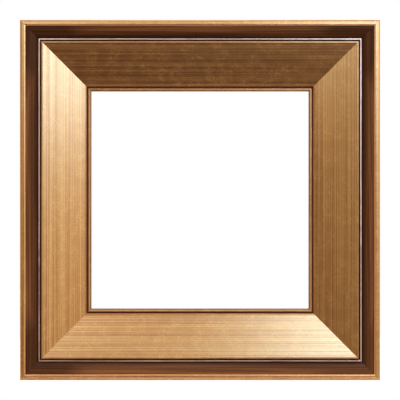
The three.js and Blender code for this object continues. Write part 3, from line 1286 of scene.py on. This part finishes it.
class Workshop:
    """What every sub-assembly is made with: finishes, node tools and the frame's sides."""

    def __init__(self) -> None:
        """Reads the frame's sizes and makes the tools."""
        self.finishes = Finishes()
        self.sweep = MitredMoulding()
        self.setter = FastenerSetter()
        low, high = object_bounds()
        self.half_width = (high[0] - low[0]) / 2
        self.half_height = (high[2] - low[2]) / 2
        self.back = -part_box("floater_rail_bottom")[1].y
        self.sides = [
            Side("bottom", 0.0, self.half_width, self.half_height),
            Side("left", QUARTER_TURN, self.half_height, self.half_width),
            Side("top", 2 * QUARTER_TURN, self.half_width, self.half_height),
            Side("right", -QUARTER_TURN, self.half_height, self.half_width),
        ]

    def span(self, node: str) -> Span:
        """Measures a moulding's section.

        Args:
            node: What the names of its CAD nodes start with.

        Returns:
            The section's box.
        """
        low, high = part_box(f"{node}_bottom")
        start, end = low.z + self.half_height, high.z + self.half_height
        return Span(start, end, -high.y - self.back, -low.y - self.back)

    def plate(self, piece: Piece, body: str, node: str) -> None:
        """Gives a finished piece its steel and makes it stand for one CAD node.

        Args:
            piece: The finished piece.
            body: CAD body that it moves with.
            node: CAD node that it replaces.
        """
        piece.data.materials.clear()
        piece.data.materials.append(self.finishes.steel)
        dress(piece, body, [node])


@dataclass
class Moulding:
    """Four mitred rails of one section."""

    shop: Workshop
    eased: float = 0.05 * MM
    grain_step: float = 0.9
    corner_steps: int = 4

    LENGTH_SLACK = 1.01

    node = ""
    piece = ""
    slot = ""
    grain = 0.0

    def outline(self, span: Span) -> Outline:
        """Draws the section."""
        raise NotImplementedError

    def build(self, cutters: list[Piece]) -> None:
        """Makes the four rails, cuts their holes and dresses them.

        Args:
            cutters: Shapes of the holes behind.
        """
        outline = self.outline(self.shop.span(self.node))
        for order, side in enumerate(self.shop.sides):
            rail = add_piece(f"{self.piece}_{side.name}", outline.mesh(self.piece))
            values = {
                "Reach": side.reach,
                "Drop": side.drop,
                "Back": self.shop.back,
                "Turn": side.turn,
                "Ease": self.eased,
                "Grain": self.grain + order * self.grain_step,
                "Material": self.shop.finishes.zones[Zone.BARE],
            }
            self.shop.sweep.bake(rail, values)
            self.paint(rail.data, outline)
            if cutters:
                cut(rail, cutters)
            dress(rail, "frame", [f"{self.node}_{side.name}"])

    def paint(self, mesh: Mesh, outline: Outline) -> None:
        """Gives each stretch of the section its finish. The ends and the closing stretch stay bare.

        Args:
            mesh: Mesh of a rail.
            outline: Section that it was made from.
        """
        zones = [Zone.BARE, *sorted(set(outline.zones) - {Zone.BARE}, key=lambda zone: zone.value)]
        mesh.materials.clear()
        for zone in zones:
            mesh.materials.append(self.shop.finishes.zones[zone])
        lengths = outline.lengths()
        places = mesh.attributes["rail"].data
        for polygon in mesh.polygons:
            across = [places[corner].vector.y for corner in polygon.loop_indices]
            low, high = min(across), max(across)
            stretch = bisect_right(lengths, (low + high) / 2) - 1
            longest = self.LENGTH_SLACK * (lengths[stretch + 1] - lengths[stretch])
            whole = len(across) == 4 and high - low < longest
            polygon.material_index = zones.index(outline.zones[stretch]) if whole else 0
        for name in ("section", "station", "inward", "across"):
            mesh.attributes.remove(mesh.attributes[name])


@dataclass
class FloaterMoulding(Moulding):
    """L-shaped outer moulding: a gold cap, a brown face that rolls down inwards, and a ledge behind."""

    cap_width: float = 6.3 * MM
    cap_inner_width: float = 1.8 * MM
    cap_rise: float = 0.9 * MM
    cap_roll: float = 0.8 * MM
    cap_fall: float = 1.1 * MM
    cap_slope: float = 2.0 * MM
    cap_corner: float = 0.4 * MM
    face_width: float = 13.7 * MM
    face_drop: float = 4.6 * MM
    face_shoulder: float = 8.0 * MM
    face_end_radius: float = 1.2 * MM
    ledge_thickness: float = 8.0 * MM
    corner: float = 0.5 * MM
    face_steps: int = 20
    crest_steps: int = 14
    fall_steps: int = 16
    edge_steps: int = 5

    node = "floater_rail"
    piece = "floater_moulding"
    slot = "lacquered_wood"
    grain = 0.1

    def outline(self, span: Span) -> Outline:
        """Draws the section along the ledge, up the inner wall, over the front and round the back.

        Args:
            span: Box of the section.

        Returns:
            The section.
        """
        face_end = self.cap_width + self.face_width
        outer_height = span.front - self.cap_rise
        inner_height = outer_height - self.face_drop
        outline = Outline(span.end, self.ledge_thickness)
        outline.line(face_end, self.ledge_thickness, Zone.BOLE)
        roll = Vector((self.cap_width + self.face_shoulder, outer_height))
        outline.ease(Vector((face_end, inner_height)), roll, self.face_end_radius, Zone.LACQUER)
        outline.bend(roll, Vector((self.cap_width, outer_height)), Zone.LACQUER, self.face_steps)
        crest = Vector((self.cap_width - self.cap_inner_width, span.front))
        turn = Vector((self.cap_width - self.cap_roll, span.front))
        outline.bend(turn, crest, Zone.CAP_GOLD, self.crest_steps)
        edge = Vector((0.0, span.front - self.cap_fall))
        fall = Vector((self.cap_slope, span.front))
        shoulder = edge + (fall - edge).normalized() * self.cap_corner
        outline.bend(fall, shoulder, Zone.CAP_GOLD, self.fall_steps)
        outline.bend(edge, edge - Vector((0.0, self.cap_corner)), Zone.CAP_GOLD, self.edge_steps)
        outline.line(0.0, edge.y - self.cap_width / 2, Zone.CAP_GOLD)
        foot = Vector((span.end, 0.0))
        top = Vector((span.end, span.front))
        outline.ease(Vector((0.0, 0.0)), foot, self.corner, Zone.LACQUER, self.corner_steps)
        outline.ease(foot, top, self.corner, Zone.BARE, self.corner_steps)
        return outline


@dataclass
class SilverSlip(Moulding):
    """Thin batten with a silver top and dark sides."""

    edge_radius: float = 0.5 * MM

    node = "silver_slip"
    piece = "silver_slip_leaf"
    slot = "silvered_wood"
    grain = 0.2

    def outline(self, span: Span) -> Outline:
        """Draws the section up the inner side, over the top and down the outer side.

        Args:
            span: Box of the section.

        Returns:
            The section.
        """
        width = span.end - span.start
        outline = Outline(span.end, span.back)
        outline.line(span.end, span.front - width, Zone.BOLE)
        outline.top(width, span.front, 0.0, self.edge_radius, Zone.SILVER)
        outline.line(span.start, span.front - width, Zone.SILVER)
        outline.line(span.start, span.back, Zone.BOLE)
        return outline


@dataclass
class PanelMoulding(Moulding):
    """Wide gold panel that slopes down to the opening, with a rabbet behind."""

    inner_height: float = 24.5 * MM
    outer_height: float = 37.0 * MM
    rabbet_wall: float = 70.95 * MM
    rabbet_roof: float = 21.1 * MM
    land_width: float = 2.2 * MM
    land_drop: float = 0.25 * MM
    land_radius: float = 0.8 * MM
    edge_radius: float = 2.2 * MM
    nose_radius: float = 0.5 * MM
    gilded_edge: float = 1.0 * MM
    land_steps: int = 6
    edge_steps: int = 10

    node = "panel_rail"
    piece = "gilded_panel"
    slot = "gilded_wood"
    grain = 0.3

    def outline(self, span: Span) -> Outline:
        """Draws the section from the rabbet's roof over nose, land and slope, then down the outer wall.

        Args:
            span: Box of the section.

        Returns:
            The section.
        """
        nose = Vector((span.end, self.inner_height))
        land = nose + Vector((-self.land_width, self.land_drop))
        edge = Vector((span.start, self.outer_height))
        seat = Vector((span.start, span.back))
        outline = Outline(span.end, self.rabbet_roof)
        outline.line(span.end, self.inner_height - self.nose_radius - self.gilded_edge, Zone.BOLE)
        outline.ease(nose, land, self.nose_radius, Zone.PANEL_GOLD)
        outline.ease(land, edge, self.land_radius, Zone.PANEL_GOLD, self.land_steps)
        outline.ease(edge, seat, self.edge_radius, Zone.PANEL_GOLD, self.edge_steps)
        outline.line(edge.x, edge.y - self.edge_radius - self.gilded_edge, Zone.PANEL_GOLD)
        outline.line(seat.x, seat.y, Zone.BOLE)
        outline.line(self.rabbet_wall, span.back, Zone.BARE)
        outline.line(self.rabbet_wall, self.rabbet_roof, Zone.BARE)
        return outline


@dataclass
class SightFillet(Moulding):
    """Small fillet at the opening: a gold lip between a dark groove and a low step in painted shade."""

    lip_width: float = 2.3 * MM
    lip_rise: float = 2.2 * MM
    lip_fall: float = 0.18 * MM
    lip_radius: float = 0.5 * MM
    step_width: float = 1.1 * MM
    step_radius: float = 0.3 * MM

    node = "sight_fillet"
    piece = "sight_lip"
    slot = "gilded_wood"
    grain = 0.4

    def outline(self, span: Span) -> Outline:
        """Draws the section along the back, up the sight edge, over the lip and along the groove.

        Args:
            span: Box of the section.

        Returns:
            The section.
        """
        floor = span.front - self.lip_rise
        lip_end = Vector((span.end - self.step_width, floor))
        outline = Outline(span.start, span.back)
        outline.line(span.end, span.back, Zone.BARE)
        step = Vector((span.end, floor))
        # The step takes the darker gold, a painted shade under the lip.
        outline.ease(step, lip_end, self.step_radius, Zone.BRONZE, self.corner_steps)
        outline.line(lip_end.x, lip_end.y, Zone.BRONZE)
        outline.top(self.lip_width, span.front, self.lip_fall, self.lip_radius, Zone.CAP_GOLD)
        outline.line(lip_end.x - self.lip_width, floor, Zone.CAP_GOLD)
        outline.line(span.start, floor, Zone.BOLE)
        return outline


# Fasteners


@dataclass
class FastenerGroup:
    """Like fasteners of one body, set as one mesh."""

    shop: Workshop
    seed: int = 5

    def points(self, name: str, places: Places) -> Piece:
        """Makes an object of points, each with its turn about Y.

        Args:
            name: Name of the object.
            places: Each point's place and its turn.

        Returns:
            The object.
        """
        mesh = mesh_from(name, [place for place, _ in places], [])
        turn = mesh.attributes.new("turn", "FLOAT", "POINT")
        turn.data.foreach_set("value", [angle for _, angle in places])
        return add_piece(name, mesh)

    def set_copies(
        self,
        name: str,
        template: Piece,
        places: Places,
        material: Material,
        spin: float = 0.0,
    ) -> Piece:
        """Sets a copy of a template at each place.

        Args:
            name: Name of the result.
            template: Object that is copied, and then removed.
            places: Each copy's place and its turn about Y.
            material: Material of all copies.
            spin: Largest random turn that is added.

        Returns:
            One object with all copies.
        """
        group = self.points(name, places)
        values = {"Template": template, "Spin": spin, "Seed": self.seed, "Material": material}
        self.shop.setter.bake(group, values)
        discard(template)
        return group


@dataclass
class Screws(FastenerGroup):
    """Wood screws with a cross recess, their heads towards the wall."""

    name: str = ""
    nodes: list[str] = field(default_factory=list)
    head: Head = Head.ROUND
    head_radius: float = 3.0 * MM
    head_height: float = 1.9 * MM
    shank_radius: float = 1.4 * MM
    length: float = 13.0 * MM
    tip: float = 3.0 * MM
    gap: float = 0.3 * MM
    sunk: float = 0.6 * MM
    rim: float = 0.35 * MM
    recess_reach: float = 1.9 * MM
    recess_width: float = 0.8 * MM
    recess_depth: float = 1.1 * MM
    recess_foot: float = 0.45
    recess_mouth: float = 1.5
    recess_taper: float = 0.4
    dome_steps: int = 8
    segments: int = 32

    def places(self) -> Places:
        """Returns the top of each CAD screw's head."""
        return [(back_end(node), 0.0) for node in self.nodes]

    def profile(self) -> Profile:
        """Draws a screw from its point to the top of its head, which is at height 0.

        Returns:
            The half outline.
        """
        sunk_head = self.head is Head.COUNTERSUNK
        seat = -self.head_height
        point = -self.length if sunk_head else seat - self.length
        outline = [(0.0, point), (self.shank_radius, point + self.tip), (self.shank_radius, seat)]
        if sunk_head:
            bevel = self.rim / 2
            return outline + [(self.head_radius, -bevel), (self.head_radius - bevel, 0.0), (0.0, 0.0)]
        outline += [(self.head_radius, seat), (self.head_radius, seat + self.rim)]
        dome = self.head_height - self.rim
        for step in range(1, self.dome_steps + 1):
            angle = QUARTER_TURN * step / self.dome_steps
            radius = self.head_radius * math.cos(angle) if step < self.dome_steps else 0.0
            outline.append((radius, dome * (math.sin(angle) - 1)))
        return outline

    def hole(self) -> Profile:
        """Draws the hole of a screw.

        Returns:
            The half outline.
        """
        bore = self.shank_radius + self.gap
        if self.head is Head.ROUND:
            floor = -self.head_height - self.length - self.gap
            return [(0.0, floor), (bore, floor), (bore, self.length), (0.0, self.length)]
        mouth = self.head_radius + self.gap
        floor = -self.length - self.gap
        seat = -self.head_height - self.gap
        sides = [(bore, floor), (bore, seat), (mouth, -self.gap), (mouth, self.sunk)]
        return [(0.0, floor), *sides, (0.0, self.sunk)]

    def recess_arm(self, turn: float) -> Piece:
        """Makes one tapered arm of the cross recess.

        Args:
            turn: Turn of the arm about Y.

        Returns:
            Shape of the arm.
        """
        rings = []
        ends = {-self.recess_depth: self.recess_foot, self.recess_depth: self.recess_mouth}
        for height, share in ends.items():
            reach = self.recess_reach * share
            half = self.recess_width / 2 * (1 - self.recess_taper + self.recess_taper * share)
            corners = [(-reach, -half), (reach, -half), (reach, half), (-reach, half)]
            rings.append([Vector((x, height, z)) for x, z in corners])
        arm = swept("recess", rings)
        arm.data.transform(Matrix.Rotation(turn, 4, "Y"))
        return arm

    def cutter(self) -> Piece:
        """Makes the holes of all screws.

        Returns:
            One object with their shapes.
        """
        template = turned("hole", self.hole(), self.segments)
        bare = self.shop.finishes.zones[Zone.BARE]
        return self.set_copies(f"{self.name}_holes", template, self.places(), bare)

    def build(self) -> None:
        """Makes the screws and dresses them."""
        template = turned("screw", self.profile(), self.segments)
        arms = [self.recess_arm(turn) for turn in (0.0, QUARTER_TURN)]
        cut(template, arms)
        discard(*arms)
        steel = self.shop.finishes.steel
        group = self.set_copies(self.name, template, self.places(), steel, spin=math.pi)
        dress(group, "frame", self.nodes)


@dataclass
class CornerNails(FastenerGroup):
    """V-shaped nails pressed into the mitres from behind."""

    moulding: str = "floater"
    leg: float = 7.0 * MM
    thickness: float = 0.8 * MM
    height: float = 8.0 * MM
    gap: float = 0.3 * MM
    bevel: float = 0.12 * MM

    def corners(self) -> dict[str, float]:
        """Returns each corner's name and its turn from the bottom left."""
        names = ("bottom_left", "top_left", "top_right", "bottom_right")
        return {name: QUARTER_TURN * order for order, name in enumerate(names)}

    def nodes(self) -> list[str]:
        """Returns the CAD nodes of the moulding's nails."""
        ends = [f"{corner}_{place}" for corner in self.corners() for place in ("outer", "inner")]
        return [f"{self.moulding}_nail_{end}" for end in ends]

    def places(self) -> Places:
        """Finds the back end of each nail's bend.

        Returns:
            Each nail's place and its turn.
        """
        found = []
        half = self.thickness / 2
        for node in self.nodes():
            low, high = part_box(node)
            x = low.x + half if "left" in node else high.x - half
            z = low.z + half if "bottom" in node else high.z - half
            corner = next(name for name in self.corners() if name in node)
            found.append((Vector((x, high.y, z)), self.corners()[corner]))
        return found

    def nail(self, gap: float) -> Piece:
        """Makes a nail with its bend at the origin, or the shape of its slot.

        Args:
            gap: Room round the nail in its slot, or 0 for the nail.

        Returns:
            The nail or the slot's shape.
        """
        half = self.thickness / 2 + gap
        leg = self.leg + gap
        plan = [(-half, -half), (leg, -half), (leg, half), (half, half), (half, leg), (-half, leg)]
        heights = (-self.height - gap, 2 * gap)
        rings = [[Vector((x, height, z)) for x, z in plan] for height in heights]
        return swept("nail", rings)

    def cutter(self) -> Piece:
        """Returns the slots of all nails."""
        bare = self.shop.finishes.zones[Zone.BARE]
        return self.set_copies(f"{self.moulding}_slots", self.nail(self.gap), self.places(), bare)

    def build(self) -> None:
        """Makes the nails and dresses them."""
        template = self.nail(0.0)
        soften(template, self.bevel)
        name = f"{self.moulding}_corner_nails"
        group = self.set_copies(name, template, self.places(), self.shop.finishes.steel)
        dress(group, "frame", self.nodes())


@dataclass
class Bumpers(FastenerGroup):
    """Round rubber bumpers that keep the frame's bottom off the wall."""

    flat_radius: float = 3.0 * MM
    rim: float = 2.0 * MM
    crown: float = 0.15
    segments: int = 40

    def build(self) -> None:
        """Makes the bumpers and dresses them."""
        nodes = ["wall_bumper_left", "wall_bumper_right"]
        low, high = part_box(nodes[0])
        radius = (high.x - low.x) / 2
        height = high.y - low.y
        shoulder = Vector((radius, self.rim - height))
        flat = Vector((self.flat_radius, 0.0))
        edge = Outline(*shoulder)
        edge.bend(Vector((radius, (self.rim - height) * self.crown)), flat, Zone.BARE)
        profile = [(0.0, -height), (radius, -height), *map(tuple, edge.points), (0.0, 0.0)]
        template = turned("bumper", profile, self.segments)
        places = [(back_end(node), 0.0) for node in nodes]
        group = self.set_copies("rubber_bumpers", template, places, self.shop.finishes.rubber)
        dress(group, "frame", nodes)


# Hangers and turn buttons


@dataclass
class Hanger:
    """Steel strap, folded double round the bar of a D-shaped ring."""

    shop: Workshop
    side: str
    pivot: Vector
    sheet: float = 0.8 * MM
    slit: float = 0.05 * MM
    clearance: float = 0.3 * MM
    wire: float = 1.1 * MM
    ring_arm: float = 4.0 * MM
    ring_corner: float = 2.0 * MM
    bevel: float = 0.1 * MM
    fold_steps: int = 28
    strips: int = 24
    corner_steps: int = 8
    bow_steps: int = 40
    wire_sides: int = 20

    def fold(self, length: float) -> list[Vector]:
        """Draws the folded sheet, its hinge at the origin and its tail along -X.

        Args:
            length: Length of the tail.

        Returns:
            Outline of the sheet.
        """
        bore = self.wire + self.clearance
        outer = bore + self.sheet
        upper = 2 * self.sheet - outer
        hinge = Vector((0.0, 0.0))
        top_angle = math.pi - math.asin(upper / outer)
        slit_angle = math.pi - math.asin((self.slit - bore) / bore)
        points = [Vector((-length, -outer))]
        points += arc(hinge, outer, -QUARTER_TURN, top_angle, self.fold_steps)
        points += [Vector((-length, upper)), Vector((-length, self.slit - bore))]
        points += arc(hinge, bore, slit_angle, -QUARTER_TURN, self.fold_steps)
        points.append(Vector((-length, -bore)))
        return points

    def strap(self, holes: Piece) -> None:
        """Makes the strap with its round tail and its screw hole.

        Args:
            holes: Shapes of the screw holes.
        """
        node = f"hanger_strap_{self.side}"
        low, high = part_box(node)
        half = (high.z - low.z) / 2
        outer = self.wire + self.clearance + self.sheet
        length = high.x - low.x - outer
        fold = self.fold(length)
        rings = []
        for strip in range(self.strips + 1):
            across = half * math.sin(QUARTER_TURN * (2 * strip / self.strips - 1))
            tail = half - math.sqrt(max(half * half - across * across, 0.0))
            shifted = [point.x + tail if point.x < -length / 2 else point.x for point in fold]
            rings.append([Vector((x, point.y, across)) for x, point in zip(shifted, fold)])
        strap = swept(f"strap_{self.side}", rings)
        strap.data.transform(aimed(self.pivot, middle(f"hanger_ring_{self.side}")))
        cut(strap, [holes])
        soften(strap, self.bevel)
        self.shop.plate(strap, "frame", node)

    def ring_line(self, half: float) -> list[Vector]:
        """Draws the middle of the wire: a bar on the hinge, two arms and a half-round bow.

        Args:
            half: Half the width of the ring.

        Returns:
            Points of the line.
        """
        corner = self.ring_corner
        ends = Vector((corner, half - corner)), Vector((corner, corner - half))
        right = arc(ends[0], corner, math.pi, QUARTER_TURN, self.corner_steps)
        bow = arc(Vector((self.ring_arm, 0.0)), half, QUARTER_TURN, -QUARTER_TURN, self.bow_steps)
        left = arc(ends[1], corner, -QUARTER_TURN, -math.pi, self.corner_steps)
        return right + bow + left

    def ring(self) -> None:
        """Makes the ring on its own body."""
        node = f"hanger_ring_{self.side}"
        low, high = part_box(node)
        line = self.ring_line((high.z - low.z) / 2 - self.wire)
        circle = arc(Vector((0.0, 0.0)), self.wire, 0.0, 2 * math.pi, self.wire_sides)[:-1]
        rings = []
        for index, point in enumerate(line):
            ahead = line[(index + 1) % len(line)] - line[index - 1]
            sideways = Vector((ahead.y, -ahead.x)).normalized()
            spots = [(point + sideways * dot.x, dot.y) for dot in circle]
            rings.append([Vector((spot.x, height, spot.y)) for spot, height in spots])
        ring = swept(f"ring_{self.side}", rings, closed=True)
        ring.data.transform(aimed(self.pivot, middle(node)))
        self.shop.plate(ring, f"{self.side}_ring", node)


@dataclass
class TurnButton:
    """Flat pear-shaped button that turns on its screw and holds the picture in the rabbet."""

    shop: Workshop
    side: str
    pivot: Vector
    end_radius: float = 5.0 * MM
    tip_radius: float = 3.4 * MM
    reach: float = 14.0 * MM
    bore: float = 1.7 * MM
    bevel: float = 0.2 * MM
    tip_steps: int = 20
    end_steps: int = 36
    bore_segments: int = 32

    def build(self) -> None:
        """Makes the button on its own body."""
        node = f"turn_button_{self.side}"
        low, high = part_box(node)
        thickness = high.y - low.y
        tip = self.reach - self.tip_radius
        lean = math.acos((self.end_radius - self.tip_radius) / tip)
        plan = arc(Vector((tip, 0.0)), self.tip_radius, -lean, lean, self.tip_steps)
        plan += arc(Vector((0.0, 0.0)), self.end_radius, lean, 2 * math.pi - lean, self.end_steps)
        faces = (-thickness / 2, thickness / 2)
        rings = [[Vector((point.x, height, point.y)) for point in plan] for height in faces]
        button = swept(f"button_{self.side}", rings)
        ends = (-2 * thickness, 2 * thickness)
        profile = [(0.0, ends[0]), (self.bore, ends[0]), (self.bore, ends[1]), (0.0, ends[1])]
        hole = turned("bore", profile, self.bore_segments)
        cut(button, [hole])
        discard(hole)
        soften(button, self.bevel)
        button.data.transform(aimed(self.pivot, middle(node)))
        self.shop.plate(button, f"{self.side}_button", node)


# Studio


@dataclass(frozen=True)
class Lamp:
    """Square soft lamp that points at the frame's middle. One for glints only adds no matt light."""

    name: str
    way: tuple[float, float, float]
    distance: float
    size: float
    power: float
    colour: Colour
    glints_only: bool = False

    def hang(self) -> None:
        """Adds the lamp to the scene."""
        light = bpy.data.lights.new(self.name, "AREA")
        light.shape = "SQUARE"
        light.size = self.size
        light.energy = self.power
        light.color = self.colour
        lamp = bpy.data.objects.new(self.name, light)
        way = Vector(self.way).normalized()
        lamp.location = way * self.distance
        lamp.rotation_euler = way.to_track_quat("Z", "Y").to_euler()
        lamp.visible_camera = False
        lamp.visible_diffuse = not self.glints_only
        bpy.context.scene.collection.objects.link(lamp)


@dataclass(frozen=True)
class Glow:
    """Soft light of one part of the studio: the direction along which it fades in, and perhaps out."""

    way: str
    start: float
    full: float
    colour: Colour
    fade: tuple[float, float] | None = None

    def light(self, wiring: Wiring, ways: dict[str, Socket]) -> Socket:
        """Adds the light to the world's nodes.

        Args:
            wiring: Wiring of the world.
            ways: Name of each direction to how far a ray points there.

        Returns:
            The light's colour.
        """
        level = wiring.spread(ways[self.way], self.start, self.full)
        if self.fade:
            level = wiring.math("MULTIPLY", level, wiring.spread(ways[self.way], *self.fade))
        return wiring.scaled(self.colour, level)


@dataclass
class Studio:
    """Floor, lights, background and camera."""

    picture_pixels: float = 400.0
    frame_pixels: float = 359.86
    camera_distance: float = 6.0
    floor_size: tuple[float, float] = (2.6, 1.9)
    floor_front: float = 0.056
    floor_gap: float = 0.2 * MM
    floor_colour: Colour = (0.40, 0.34, 0.26)
    floor_share: float = 0.6
    floor_glow: float = 1.6
    lamps: tuple[Lamp, ...] = (
        Lamp("key", (0.265, -0.927, 0.265), 0.95, 0.30, 0.81, (0.58, 0.91, 1.0)),
        Lamp("fill", (-0.350, -0.860, 0.370), 0.95, 0.35, 0.51, (0.93, 1.0, 0.735)),
        Lamp("corner", (0.506, -0.698, 0.506), 0.89, 0.32, 2.4, (0.80, 1.0, 1.0), glints_only=True),
    )
    glows: tuple[Glow, ...] = (
        Glow("right", 0.0, 0.6, (0.745, 0.575, 0.31), fade=(0.95, 0.75)),
        Glow("left", 0.0, 0.6, (0.286, 0.203, 0.088)),
        Glow("up", 0.0, 0.6, (0.50, 0.415, 0.30)),
        Glow("down", 0.0, 0.4, (0.012, 0.0, 0.009)),
        Glow("forwards", 0.96, 0.99, (0.24, 0.105, 0.06)),
        Glow("rim", 0.82, 0.95, (0.55, 0.26, 0.13)),
    )
    sky_level: float = 6.9
    ambient_level: float = 0.3
    rear_level: float = 0.7

    SKY_WAY = {"right": 0.22, "forwards": 0.15, "up": 0.95}
    SKY_FADE = (0.75, 0.95)
    ROOM_FADE = (0.0, 0.25)
    REAR_FADE = (0.0, 0.3)
    MIRRORED_FADE = (-0.25, 0.1)

    def build(self, shop: Workshop) -> None:
        """Sets up the studio round the frame.

        Args:
            shop: Workshop with the frame's sizes.
        """
        self.floor(shop)
        self.world()
        for lamp in self.lamps:
            lamp.hang()
        self.camera(shop)
        bpy.context.scene.view_settings.view_transform = "Standard"

    def floor(self, shop: Workshop) -> None:
        """Lays a pale floor under the frame, seen through from below.

        Args:
            shop: Workshop with the frame's sizes.
        """
        width, depth = self.floor_size
        level = -shop.half_height - self.floor_gap
        near, far = -self.floor_front, depth - self.floor_front
        corners = [(-width / 2, near), (width / 2, near), (width / 2, far), (-width / 2, far)]
        points = [(x, y, level) for x, y in corners]
        floor = add_piece("floor", mesh_from("floor", points, [(0, 1, 2, 3)]))
        material = bpy.data.materials.new("pale_floor")
        material.use_nodes = True
        wiring = Wiring(material.node_tree)
        material.node_tree.nodes.clear()
        path = wiring.node("ShaderNodeLightPath").outputs
        seen = wiring.math("MAXIMUM", path["Is Camera Ray"], path["Is Transmission Ray"])
        matt = wiring.node("ShaderNodeBsdfDiffuse", {"Color": self.floor_colour}).outputs[0]
        glow = wiring.node("ShaderNodeEmission", {"Strength": self.floor_glow}).outputs[0]
        share = wiring.math("MULTIPLY", seen, self.floor_share)
        lit = wiring.node("ShaderNodeMixShader", {0: share, 1: matt, 2: glow}).outputs[0]
        behind = wiring.node("ShaderNodeNewGeometry").outputs["Backfacing"]
        clear = wiring.node("ShaderNodeBsdfTransparent").outputs[0]
        below = wiring.math("MULTIPLY", behind, path["Is Camera Ray"])
        shown = wiring.node("ShaderNodeMixShader", {0: below, 1: lit, 2: clear}).outputs[0]
        wiring.node("ShaderNodeOutputMaterial", {"Surface": shown})
        floor.data.materials.append(material)
        floor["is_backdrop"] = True

    def world(self) -> None:
        """Makes a soft studio in front of the frame and a white background behind it."""
        world = bpy.data.worlds.new("studio")
        bpy.context.scene.world = world
        world.use_nodes = True
        world.node_tree.nodes.clear()
        wiring = Wiring(world.node_tree)
        x, y, z = wiring.parts(wiring.node("ShaderNodeTexCoord").outputs["Generated"])
        ways = {"right": x, "up": z}
        for name, opposite in {"left": x, "forwards": y, "down": z}.items():
            ways[name] = wiring.math("MULTIPLY", opposite, -1.0)
        ways["rim"] = wiring.math("MAXIMUM", ways["left"], wiring.math("ABSOLUTE", z))
        colour: Any = (0.0, 0.0, 0.0)
        for glow in self.glows:
            colour = wiring.vector("ADD", colour, glow.light(wiring, ways))
        inputs = {"Color": colour, "Strength": wiring.spread(ways["forwards"], *self.ROOM_FADE)}
        room = wiring.node("ShaderNodeBackground", inputs).outputs[0]
        rear_level = wiring.spread(y, *self.REAR_FADE, 0.0, self.rear_level)
        rear = wiring.node("ShaderNodeBackground", {"Color": WHITE, "Strength": rear_level})
        path = wiring.node("ShaderNodeLightPath").outputs
        overhead = wiring.total(ways, self.SKY_WAY)
        sky_level = wiring.spread(overhead, *self.SKY_FADE, 0.0, self.sky_level)
        ambient_level = wiring.spread(ways["forwards"], *self.ROOM_FADE, 0.0, self.ambient_level)
        sky_level = wiring.math("MAXIMUM", sky_level, ambient_level)
        sky_level = wiring.math("MULTIPLY", path["Is Diffuse Ray"], sky_level)
        sky = wiring.node("ShaderNodeBackground", {"Color": WHITE, "Strength": sky_level})
        soft = wiring.node("ShaderNodeAddShader", {0: room, 1: rear.outputs[0]}).outputs[0]
        soft = wiring.node("ShaderNodeAddShader", {0: soft, 1: sky.outputs[0]}).outputs[0]
        white = wiring.node("ShaderNodeBackground", {"Color": WHITE}).outputs[0]
        mirrored = wiring.math("MAXIMUM", path["Is Glossy Ray"], path["Is Transmission Ray"])
        mirrored = wiring.math("MULTIPLY", mirrored, wiring.spread(y, *self.MIRRORED_FADE))
        seen = wiring.math("MAXIMUM", path["Is Camera Ray"], mirrored)
        shown = wiring.node("ShaderNodeMixShader", {0: seen, 1: soft, 2: white}).outputs[0]
        wiring.node("ShaderNodeOutputWorld", {"Surface": shown})

    def camera(self, shop: Workshop) -> None:
        """Sets the camera straight in front of the frame's middle.

        Args:
            shop: Workshop with the frame's sizes.
        """
        view = bpy.data.cameras.new("camera")
        seen_width = 2 * shop.half_width * self.picture_pixels / self.frame_pixels
        view.lens = view.sensor_width * self.camera_distance / seen_width
        camera = bpy.data.objects.new("camera", view)
        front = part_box("silver_slip_bottom")[0].y
        camera.location = (0.0, front - self.camera_distance, 0.0)
        camera.rotation_euler = (QUARTER_TURN, 0.0, 0.0)
        bpy.context.scene.collection.objects.link(camera)
        bpy.context.scene.camera = camera


def main() -> None:
    """Builds the frame piece by piece, then its studio."""
    logging.basicConfig(level=logging.INFO)
    for left_over in list(bpy.data.objects):
        bpy.data.objects.remove(left_over)
    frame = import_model()
    shop = Workshop()
    pivots = {joint["child"]: Vector(joint["pos_m"]) for joint in frame["joints"]}
    sides = [side.name for side in shop.sides]

    panel_screws = Screws(
        shop,
        name="panel_screws",
        nodes=[f"panel_screw_{side}_{number}" for side in sides for number in (1, 2)],
        head=Head.COUNTERSUNK,
        head_radius=3.3 * MM,
        head_height=2.2 * MM,
        shank_radius=1.6 * MM,
        length=16 * MM,
    )
    hanger_screws = Screws(
        shop,
        name="hanger_screws",
        nodes=["hanger_screw_left", "hanger_screw_right"],
        head_radius=3.4 * MM,
        head_height=2.0 * MM,
        shank_radius=1.7 * MM,
        length=15 * MM,
    )
    button_nodes = [f"turn_button_screw_{side}" for side in sides]
    button_screws = Screws(shop, name="button_screws", nodes=button_nodes)
    floater_nails = CornerNails(shop, moulding="floater")
    panel_nails = CornerNails(shop, moulding="panel")

    panel_holes = panel_screws.cutter()
    hanger_holes = hanger_screws.cutter()
    button_holes = button_screws.cutter()
    floater_slots = floater_nails.cutter()
    panel_slots = panel_nails.cutter()
    FloaterMoulding(shop).build([floater_slots, panel_holes, hanger_holes])
    SilverSlip(shop).build([])
    PanelMoulding(shop).build([panel_slots, panel_holes, button_holes])
    SightFillet(shop).build([])
    for fasteners in (panel_screws, hanger_screws, button_screws, floater_nails, panel_nails):
        fasteners.build()
    for side in ("left", "right"):
        hanger = Hanger(shop, side, pivots[f"{side}_ring"])
        hanger.strap(hanger_holes)
        hanger.ring()
    for side in sides:
        TurnButton(shop, side, pivots[f"{side}_button"]).build()
    Bumpers(shop).build()
    discard(panel_holes, hanger_holes, button_holes, floater_slots, panel_slots)

    Studio().build(shop)


if __name__ == "__main__":
    main()
